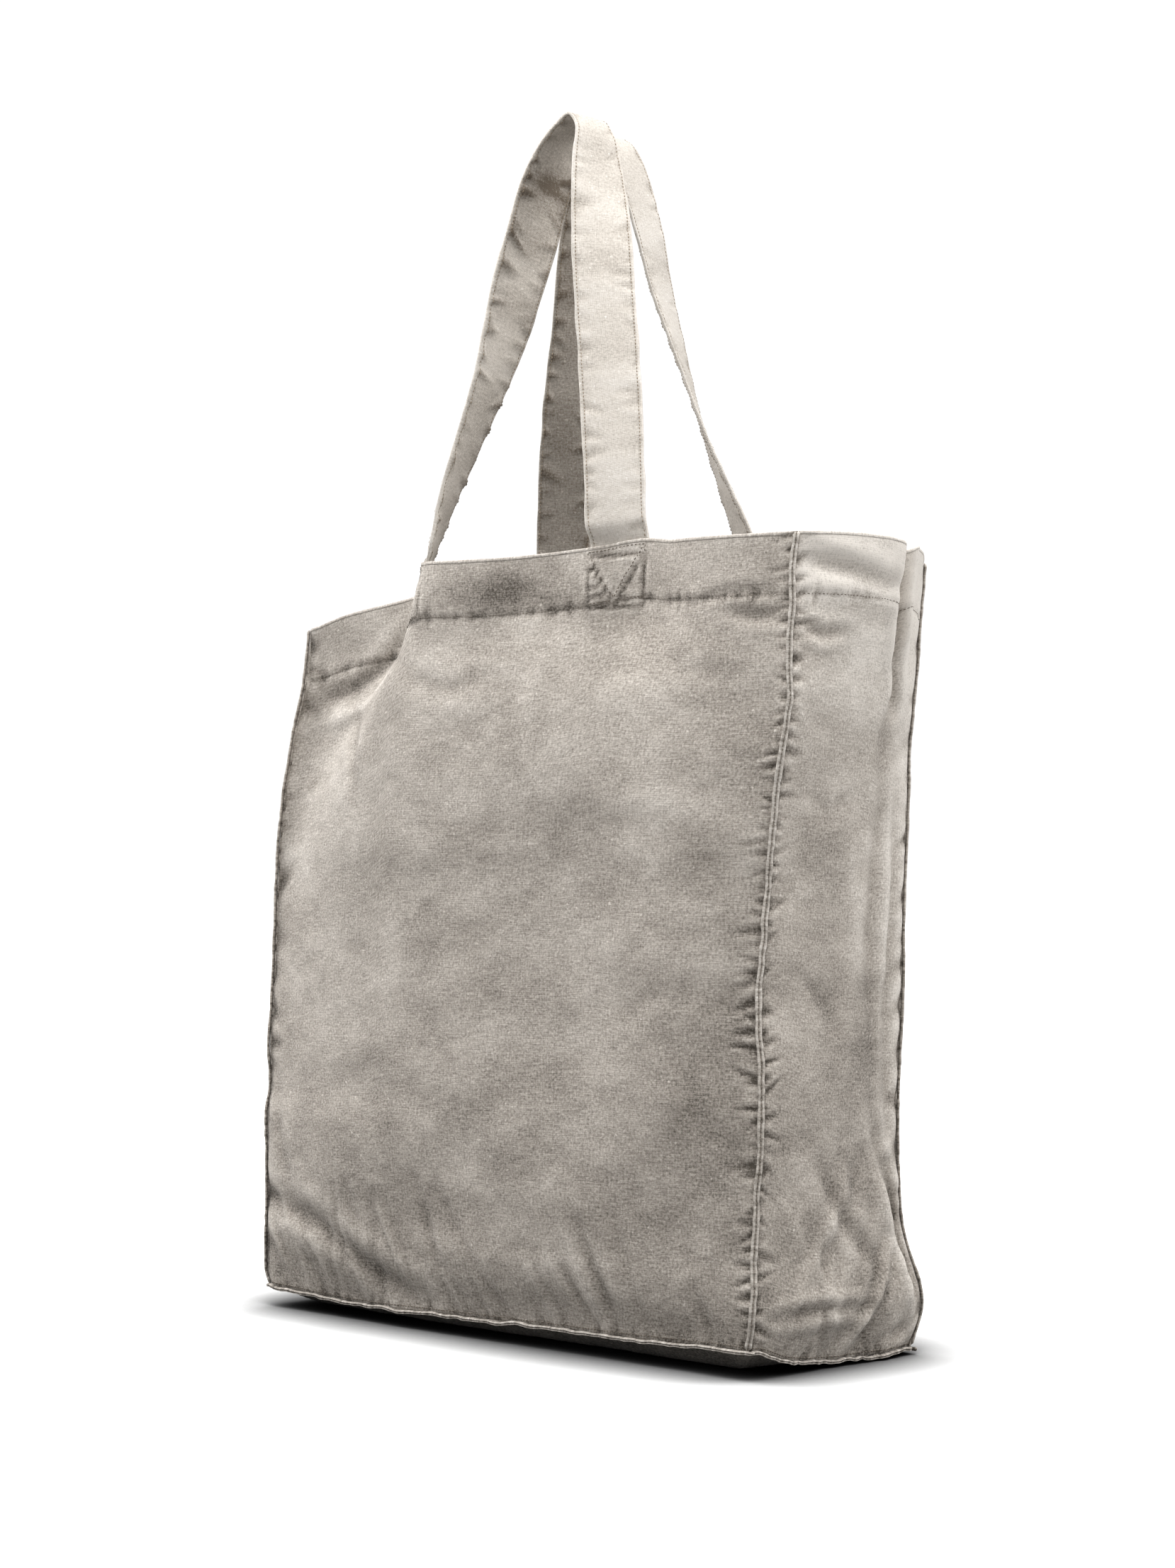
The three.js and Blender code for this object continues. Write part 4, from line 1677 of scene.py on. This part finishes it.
@dataclass
class Handle:
    """One strap: its free loop and the two ends sewn inside the hem.

    Attributes:
        name: "front" or "back".
        shape: Where the cloth lies.
        seams: Makes its stitch rows.
        finishes: The materials.
        legs: The middle line from the left foot to the right foot, above the pivots, as points.
        turns: The way the strap's width lies there, in degrees from +X, for the same points.
        gathers: How far the width is drawn together there, 1 where it isn't.
        pivot: A point on the hinge line, in metres; not used.
        feet: Where the strap's middle crosses the rim, left and right.
        width: The strap's width.
        thickness: Its thickness.
        inset: How far inside the wall's face its sewn middle lies.
        inner_shade: Painted shade on the inner face of its left leg, which faces away from the lamps.
    """

    name: str
    shape: BagShape
    seams: SeamWork
    finishes: dict[Finish, bpy.types.Material]
    legs: list[tuple[float, float, float]]
    turns: list[float]
    gathers: list[float]
    pivot: tuple[float, float, float]
    feet: tuple[float, float] = (-63.0, 91.0)
    width: float = 38.0
    thickness: float = 2.2
    inset: float = 3.5
    inner_shade: float = 0.8

    @property
    def wall(self) -> Wall:
        """The wall that holds the handle.

        Returns:
            The front or the back.
        """
        return Wall.FRONT if self.name == "front" else Wall.BACK

    def sewn(self, leg: float, side: np.ndarray, z: np.ndarray, lift: float) -> np.ndarray:
        """Points against the inside of the hem.

        Args:
            leg: Where the strap's middle crosses the rim.
            side: Distance from its middle, measured along the cloth.
            z: Height; above the rim the strap goes on straight up.
            lift: Distance out from the wall's face.

        Returns:
            The points.
        """
        u = np.linspace(-1.0, 1.0, 1200)
        rim, _ = self.shape.surface(self.wall, u, np.ones(u.shape))
        run = np.concatenate([[0], np.cumsum(np.hypot(np.diff(rim[:, 0]), np.diff(rim[:, 1])))])
        middle = np.interp(leg, rim[:, 0], run)
        at = np.interp(middle + side, run, u)
        head = self.shape.head(self.wall, at)
        base = self.shape.foot(self.wall, at)
        v = np.clip((z - base) / (head - base), 0.0, 1.0)
        points, _ = self.shape.surface(self.wall, at, v, lift)
        points[..., 2] += np.maximum(z - head, 0.0)
        return points

    def foot(self, leg: float, depth: float) -> tuple[float, float, float]:
        """The strap's middle inside the hem, a depth below the rim.

        Args:
            leg: Where the strap's middle crosses the rim.
            depth: The depth.

        Returns:
            The point.
        """
        height = np.array([self.shape.rim - depth])
        return tuple(self.sewn(leg, np.zeros(1), height, -self.inset)[0])

    def line(self) -> tuple[np.ndarray, np.ndarray, np.ndarray]:
        """The strap's middle line, turn and gather at closely spaced places.

        Returns:
            The points, the turn in radians and the gather.
        """
        left, right = self.feet
        depths = (self.shape.hem_depth - 3.0, 18.0, 4.0)
        left_end = [self.foot(left, depth) for depth in depths]
        knots = left_end + list(self.legs) + [self.foot(right, depth) for depth in depths[::-1]]
        turn = [self.turns[0]] * 3 + list(self.turns) + [self.turns[-1]] * 3
        gather = [1.0] * 3 + list(self.gathers) + [1.0] * 3
        p = np.array(knots)
        distance = np.concatenate([[0], np.cumsum(np.linalg.norm(np.diff(p, axis=0), axis=1) ** 0.5)])
        dense = np.linspace(0, distance[-1], 1500)
        curve = np.stack([self.catmull(distance, p[:, k], dense) for k in range(3)], axis=-1)
        turned = np.interp(dense, distance, turn)
        gathered = np.interp(dense, distance, gather)
        steps = run_length(curve)
        even = np.linspace(0, steps[-1], int(steps[-1] / 1.9))
        out = read_line(even, steps, curve)
        kernel = np.hanning(31)
        kernel /= kernel.sum()
        turned = self.smoothed(np.interp(even, steps, turned), kernel)
        gathered = self.smoothed(np.interp(even, steps, gathered), kernel)
        return out, np.radians(turned), gathered

    @staticmethod
    def smoothed(values: np.ndarray, kernel: np.ndarray) -> np.ndarray:
        """Values averaged with their neighbours.

        Args:
            values: The values.
            kernel: The weights, which add up to 1.

        Returns:
            The averages.
        """
        pad = len(kernel) // 2
        return np.convolve(np.pad(values, pad, mode="edge"), kernel, mode="valid")

    @staticmethod
    def catmull(at: np.ndarray, value: np.ndarray, where: np.ndarray) -> np.ndarray:
        """A smooth curve through values, read at given places.

        Args:
            at: Places of the values.
            value: The values.
            where: Places to read it at.

        Returns:
            The value at each place.
        """
        slope = np.gradient(value, at)
        i = np.clip(np.searchsorted(at, where, side="right") - 1, 0, len(at) - 2)
        gap = at[i + 1] - at[i]
        t = (where - at[i]) / gap
        start = (1 + 2 * t) * (1 - t) ** 2 * value[i] + t * (1 - t) ** 2 * gap * slope[i]
        return start + t * t * (3 - 2 * t) * value[i + 1] + t * t * (t - 1) * gap * slope[i + 1]

    def frames(self) -> tuple[np.ndarray, np.ndarray, np.ndarray, np.ndarray, np.ndarray]:
        """Middle points, directions across and through the strap, distance and gather.

        Returns:
            The five, in that order.
        """
        centre, turn, gather = self.line()
        along = np.gradient(centre, axis=0)
        along /= np.linalg.norm(along, axis=1, keepdims=True)
        across = np.stack([np.cos(turn), np.sin(turn), np.zeros(len(turn))], axis=-1)
        across -= (across * along).sum(1, keepdims=True) * along
        across /= np.linalg.norm(across, axis=1, keepdims=True)
        outward = np.cross(along, across) * (-1 if self.name == "front" else 1)
        steps = run_length(centre)
        return centre, across, outward, steps, gather

    def relief(self, side: np.ndarray, steps: np.ndarray) -> tuple[np.ndarray, np.ndarray]:
        """The strap's puckers: how far it bends through its thickness, and its tone, with painted light and
        shade.

        Args:
            side: Place across, from -1 to 1.
            steps: Distance along the strap.

        Returns:
            The bend and the tone.
        """
        seed = 700 if self.name == "front" else 740
        out = 0.55 * cloud(steps, side * 9, 46.0, seed) + 0.3 * cloud(steps, side * 14, 20.0, seed + 1)
        # The tone follows the strap's bulges: painted light where it bends out.
        tone = 0.25 * cloud(steps, side * 14, 20.0, seed + 1)
        strength = 1.1 - 0.6 * ease(steps, 280.0, 360.0)
        for edge in (-1, 1):
            away = (1 - side * edge) * self.width / 2
            pull = gathers(steps, np.maximum(away - 2.0, 0), 13.0, 12.0, seed + 5 + edge)
            pull = pull * ease(away, -0.5, 3.0)
            out = out + strength * 1.9 * pull
            groove = hump(away, 2.2, 0.9)
            out = out - 0.16 * groove
            # Painted shade in the puckers and in the stitch groove; lighter along the very edge.
            tone = tone + strength * 1.0 * pull - 0.2 * groove + 0.3 * hump(away, 0.0, 0.9)
        return out, tone

    def build(self) -> None:
        """Makes the strap and its two edge rows."""
        centre, across, outward, steps, gather = self.frames()
        half = self.width / 2
        flat = np.concatenate([[-1.0, -0.985], np.linspace(-0.95, 0.95, 27), [0.985, 1.0]])
        edge = np.abs(flat)
        thick = self.thickness / 2 * np.where(edge > 0.99, 0.35, np.where(edge > 0.97, 0.8, 1.0))
        side = np.concatenate([flat, flat[::-1]])
        depth = np.concatenate([thick, -thick[::-1]])
        grid_side, grid_steps = np.meshgrid(side, steps)
        bend, tone = self.relief(grid_side, grid_steps)
        seed = 780 if self.name == "front" else 790
        waver = 0.5 * cloud(grid_steps, np.sign(grid_side) * 50, 16.0, seed)
        reach = grid_side * half * gather[:, None] + waver * np.abs(grid_side)
        lift = depth[None, :] + bend
        points = self.place(centre, across, outward, reach, lift)
        rows, columns = grid_side.shape
        strap = mesh_object(f"{self.name}_handle_strap", points, grid_faces(rows, columns, closed=True))
        self.close_ends(strap)
        uv = np.stack([grid_side * half, grid_steps], axis=-1) * MM
        set_uv(strap, uv + (0.05 if self.name == "front" else 0.45))
        is_inner = (np.arange(columns) >= len(flat))[None, :]
        on_left = (1 - ease(centre[:, 0], 0.0, 20.0))[:, None]
        # Painted shadow under the crown, on the front handle's left leg.
        crown_shade = 1.2 * hump(centre[:, 2], 718.0, 17.0)[:, None]
        crown_shade = crown_shade * (0.75 + 0.5 * cloud(grid_steps, grid_side * 12, 11.0, seed + 1))
        # Painted shade on the inner face of the left leg, which the lamps barely reach.
        inner_shade_depth = self.inner_shade + (crown_shade if self.name == "front" else 0.0)
        set_tone(strap, tone - np.where(is_inner, inner_shade_depth * on_left, 0.0))
        nodes = [f"{self.name}_handle", f"{self.name}_handle_left_end", f"{self.name}_handle_right_end"]
        finish_piece(strap, None, nodes, self.finishes[Finish.STRAP])
        self.bend_at_hinge(strap)
        for row, place in (("inner", -1), ("outer", 1)):
            self.edge_row(row, place, centre, across, outward, steps, gather)

    def place(
        self, centre: np.ndarray, across: np.ndarray, outward: np.ndarray, reach: np.ndarray, lift: np.ndarray
    ) -> np.ndarray:
        """Points on the strap, which lies along the hem where it is sewn and turns freely above the rim.

        Args:
            centre: The middle line.
            across: The way the width lies, at each station.
            outward: The way the outer face looks.
            reach: Distance from the middle, for each station (rows) and place across (columns).
            lift: Distance from the middle through the thickness.

        Returns:
            The points.
        """
        free = centre[:, None, :] + reach[..., None] * across[:, None, :]
        free = free + lift[..., None] * outward[:, None, :]
        height = np.broadcast_to(centre[:, None, 2], reach.shape)
        held = np.empty(free.shape)
        is_left = centre[:, 0] < sum(self.feet) / 2
        for rows, leg, way in ((is_left, self.feet[0], 1), (~is_left, self.feet[1], -1)):
            flat = self.sewn(leg, way * reach[rows], height[rows], -self.inset)
            held[rows] = flat + lift[rows, :, None] * self.wall.outward
        freedom = ease(height, self.shape.rim - 1.0, self.shape.rim + 20.0)[..., None]
        return held * (1 - freedom) + free * freedom

    def close_ends(self, strap: bpy.types.Object) -> None:
        """Closes the strap's two cut ends and turns its faces outwards.

        Args:
            strap: The strap.
        """
        select_only(strap)
        bpy.ops.object.mode_set(mode="EDIT")
        bpy.ops.mesh.select_all(action="DESELECT")
        bpy.ops.mesh.select_mode(type="EDGE")
        bpy.ops.mesh.select_non_manifold(extend=False)
        bpy.ops.mesh.fill()
        bpy.ops.mesh.select_all(action="SELECT")
        bpy.ops.mesh.normals_make_consistent(inside=False)
        bpy.ops.mesh.select_mode(type="VERT")
        bpy.ops.object.mode_set(mode="OBJECT")
        strap.data.polygons.foreach_set("use_smooth", [True] * len(strap.data.polygons))

    def edge_row(
        self,
        row: str,
        place: int,
        centre: np.ndarray,
        across: np.ndarray,
        outward: np.ndarray,
        steps: np.ndarray,
        gather: np.ndarray,
    ) -> None:
        """Makes the stitches along one edge, on both faces of the strap.

        Args:
            row: "inner" or "outer".
            place: Which edge, -1 or 1.
            centre: The middle line.
            across: The way the width lies, at each station.
            outward: The way the outer face looks.
            steps: Distance of each station.
            gather: How far the width is drawn together.
        """
        inset = 1 - 2.2 / (self.width / 2)
        reach = place * inset * self.width / 2

        def path(face: int) -> PathReader:
            """The row's path on the strap's outer (1) or inner (-1) face.

            Args:
                face: Which face.

            Returns:
                The path.
            """

            def at(distance: np.ndarray) -> tuple[np.ndarray, np.ndarray]:
                """Points and normals at distances along the strap.

                Args:
                    distance: The distances.

                Returns:
                    The points and the normals.
                """
                bend, _ = self.relief(np.full(distance.shape, place * inset), distance)
                middle, width, out = (read_line(distance, steps, a) for a in (centre, across, outward))
                shrink = np.interp(distance, steps, gather)
                lift = bend + face * self.thickness / 2
                points = self.place(middle, width, out, (reach * shrink)[:, None], lift[:, None])[:, 0]
                return points, face * out

            return at

        length = float(steps[-1])
        rows = [(path(1), length), (path(-1), length)]
        stitches = self.seams.stitch_rows(f"{self.name}_handle_{row}_stitches", rows)
        node = f"{self.name}_handle_{row}_stitching"
        finish_piece(stitches, None, [node], self.finishes[Finish.STRAP_THREAD])
        self.bend_at_hinge(stitches)

    def bend_at_hinge(self, obj: bpy.types.Object) -> None:
        """Bakes a piece's placement into its mesh.

        Args:
            obj: The piece.
        """
        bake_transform(obj)


# ---------------------------------------------------------------- studio


@dataclass(frozen=True)
class Studio:
    """Pale floor, soft lights and the camera.

    Attributes:
        camera_place: Where the camera stands, in metres.
        turn: The way it looks, in degrees anticlockwise from +Y.
        tilt: How far it looks up, in degrees.
        focal_share: Focal length as a share of the frame's height.
        fill: Strength of the light from all round.
        floor_glow: How far the floor is over-exposed beside the bag.
        shelter: How far out from the bag the floor's painted contact shadow reaches, in metres.
    """

    camera_place: tuple[float, float, float] = (1.1858, -1.2498, 0.275)
    turn: float = 43.4
    tilt: float = 2.21
    focal_share: float = 1.732821
    fill: float = 0.3
    floor_glow: float = 0.4
    shelter: float = 0.06

    def camera(self) -> None:
        """Adds the camera."""
        data = bpy.data.cameras.new("camera")
        data.sensor_fit = "VERTICAL"
        data.sensor_height = 36.0
        data.lens = 36.0 * self.focal_share
        data.clip_start = 0.05
        data.clip_end = 100.0
        camera = bpy.data.objects.new("camera", data)
        camera.location = self.camera_place
        camera.rotation_euler = (math.radians(90 + self.tilt), 0.0, math.radians(self.turn))
        bpy.context.scene.collection.objects.link(camera)
        bpy.context.scene.camera = camera

    def area(self, name: str, place: tuple[float, float, float], size: float, power: float) -> None:
        """Adds a square soft light that looks at the bag.

        Args:
            name: The light's name.
            place: Where it stands, in metres.
            size: Its side, in metres.
            power: Its power, in watts.
        """
        data = bpy.data.lights.new(name, "AREA")
        data.shape = "SQUARE"
        data.size = size
        data.energy = power
        light = bpy.data.objects.new(name, data)
        light.location = place
        aim = Vector((0.0, 0.0, 0.3)) - Vector(place)
        light.rotation_euler = aim.to_track_quat("-Z", "Y").to_euler()
        bpy.context.scene.collection.objects.link(light)

    def floor(self) -> None:
        """Adds the pale floor, over-exposed to the eye but giving little light back."""
        bpy.ops.object.select_all(action="DESELECT")
        bpy.ops.mesh.primitive_plane_add(size=60.0, location=(0.0, 0.0, 0.0))
        floor = bpy.context.active_object
        floor.name = "studio_floor"
        material = bpy.data.materials.new("pale_floor")
        material.use_nodes = True
        tree = material.node_tree
        shader = tree.nodes["Principled BSDF"]
        shader.inputs["Roughness"].default_value = 0.9
        shader.inputs["Specular IOR Level"].default_value = 0.0
        s = NodeSketch(tree)
        to_camera = s.node("ShaderNodeLightPath").outputs["Is Camera Ray"]
        shader.inputs["Emission Color"].default_value = (1.0, 1.0, 1.0, 1.0)
        place = s.node("ShaderNodeTexCoord").outputs["Object"]
        length = s.node("ShaderNodeVectorMath", operation="LENGTH")
        s.feed(length.inputs[0], place)
        far = s.node("ShaderNodeMapRange", interpolation_type="SMOOTHSTEP")
        s.feed(far.inputs["Value"], length.outputs["Value"])
        span = {"From Min": 0.25, "From Max": 1.3, "To Min": self.floor_glow, "To Max": 1.05}
        for name, value in span.items():
            far.inputs[name].default_value = value
        # Painted contact shadow: ambient occlusion darkens the floor's glow and colour close to the bag.
        shelter = s.node("ShaderNodeAmbientOcclusion", samples=12)
        shelter.inputs["Distance"].default_value = self.shelter
        openness = s.math("POWER", shelter.outputs["AO"], 2.6)
        glow = s.math("MULTIPLY", to_camera, s.math("MULTIPLY", far.outputs["Result"], openness))
        s.feed(shader.inputs["Emission Strength"], glow)
        paleness = s.math("MULTIPLY_ADD", to_camera, 0.55, 0.28)
        s.feed(shader.inputs["Base Color"], s.math("MULTIPLY", paleness, openness))
        floor.data.materials.append(material)

    def sky(self) -> None:
        """Surrounds the stage with white that lights it softly."""
        world = bpy.data.worlds.new("white")
        world.use_nodes = True
        tree = world.node_tree
        background = tree.nodes["Background"]
        background.inputs["Color"].default_value = (1.0, 1.0, 1.0, 1.0)
        s = NodeSketch(tree)
        to_camera = s.node("ShaderNodeLightPath").outputs["Is Camera Ray"]
        strength = s.math("MULTIPLY_ADD", to_camera, 1.05 - self.fill, self.fill)
        s.feed(background.inputs["Strength"], strength)
        bpy.context.scene.world = world

    def build(self) -> None:
        """Sets the whole stage."""
        self.camera()
        self.floor()
        self.sky()
        self.area("left", (-2.4, -0.9, 1.5), 1.4, 66.0)
        self.area("right", (2.1, 1.2, 1.7), 1.3, 56.0)
        self.area("top", (0.3, -0.7, 2.5), 1.5, 58.0)
        self.area("front", (1.3, -2.2, 1.2), 1.2, 11.0)
        bpy.context.scene.view_settings.view_transform = "Standard"
        bpy.context.scene.view_settings.look = "None"


# ---------------------------------------------------------------- the whole bag


def shape_from_frame() -> BagShape:
    """Reads the bag's driving sizes from the CAD nodes.

    Returns:
        The bag's shape.
    """
    base_low, base_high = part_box("base_panel")
    _, panel_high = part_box("front_panel")
    hem_low, hem_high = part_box("front_hem")
    side_low, side_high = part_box("right_hem")
    left_low, left_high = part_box("front_handle_left_end")
    right_low, right_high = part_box("front_handle_right_end")
    inside_hem = 1.4
    inside_corner = 2.6
    return BagShape(
        base_half=((base_high[0] - base_low[0]) / 2 / MM, (base_high[1] - base_low[1]) / 2 / MM),
        rim=panel_high[2] / MM,
        mouth_left=hem_low[0] / MM - inside_hem,
        mouth_right=hem_high[0] / MM + inside_hem,
        mouth_half_depth=max(side_high[1], -side_low[1]) / MM + inside_corner,
        leg_places=((left_low[0] + left_high[0]) / 2 / MM, (right_low[0] + right_high[0]) / 2 / MM),
        hem_depth=(hem_high[2] - hem_low[2]) / MM,
    )


def handle_pair(
    shape: BagShape, seams: SeamWork, finishes: dict[Finish, bpy.types.Material], joints: dict[str, dict]
) -> list[Handle]:
    """The two handles, with the routes that their loops take.

    Args:
        shape: Where the cloth lies.
        seams: Makes the stitch rows.
        finishes: The materials.
        joints: The record's joints by name.

    Returns:
        The front handle and the back handle.
    """
    front = Handle(
        "front", shape, seams, finishes,
        legs=[
            (-66, -69, 488), (-60, -65, 515), (-46, -57, 558), (-32, -49, 600), (-20, -41, 650),
            (-11, -32, 696), (-3, -25, 730), (8, -20.5, 752), (19, -19, 761), (28, -19.5, 752),
            (34, -23, 730), (42, -29, 700),
            (53, -38, 657), (67, -48, 600), (80, -58, 545), (89, -66, 500), (91, -67, 488),
        ],
        turns=[-45, -57, -68, -80, -103, -107, -102, -95, -92, -96, -105, -116, -132, -145, -152, -156, -157],
        gathers=[1.0, 1.0, 1.0, 1.0, 1.0, 1.0, 0.97, 0.84, 0.66, 0.8, 0.95, 1.0, 1.0, 1.0, 1.0, 1.0, 1.0],
        pivot=tuple(joints["front_handle_swing"]["pos_m"]),
        feet=(-71.0, 91.0),
        inner_shade=0.3,
    )
    back = Handle(
        "back", shape, seams, finishes,
        legs=[
            (-80, 66, 488), (-77, 63, 515), (-67, 55, 558), (-55, 47.5, 600), (-40, 40, 650),
            (-28, 32, 696), (-17, 25.5, 730), (-7, 21, 750), (4, 19.5, 759), (14, 20, 752),
            (22, 23, 732), (29, 29, 700),
            (37, 37, 650), (48, 46, 600), (63, 56, 545), (77, 66, 500), (80, 68, 488),
        ],
        turns=[25, 30, 36, 45, 56, 70, 82, 88, 90, 92, 96, 101, 110, 122, 134, 146, 148],
        gathers=[1.0, 1.0, 1.0, 1.0, 1.0, 1.0, 0.97, 0.84, 0.62, 0.8, 0.95, 1.0, 1.0, 1.0, 1.0, 1.0, 1.0],
        pivot=tuple(joints["back_handle_swing"]["pos_m"]),
        feet=(-78.0, 84.0),
        inner_shade=0.72,
    )
    return [front, back]


def main() -> None:
    """Builds the bag and its stage."""
    logging.basicConfig(level=logging.INFO, format="%(message)s")
    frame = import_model()
    joints = {joint["name"]: joint for joint in frame["record"]["behaviour"]["joints"]}
    finishes = build_finishes()
    shape = shape_from_frame()
    Studio().build()
    ClothBody(shape, finishes).build()
    seams = SeamWork(shape, finishes)
    seams.build()
    for handle in handle_pair(shape, seams, finishes, joints):
        handle.build()


if __name__ == "__main__":
    main()
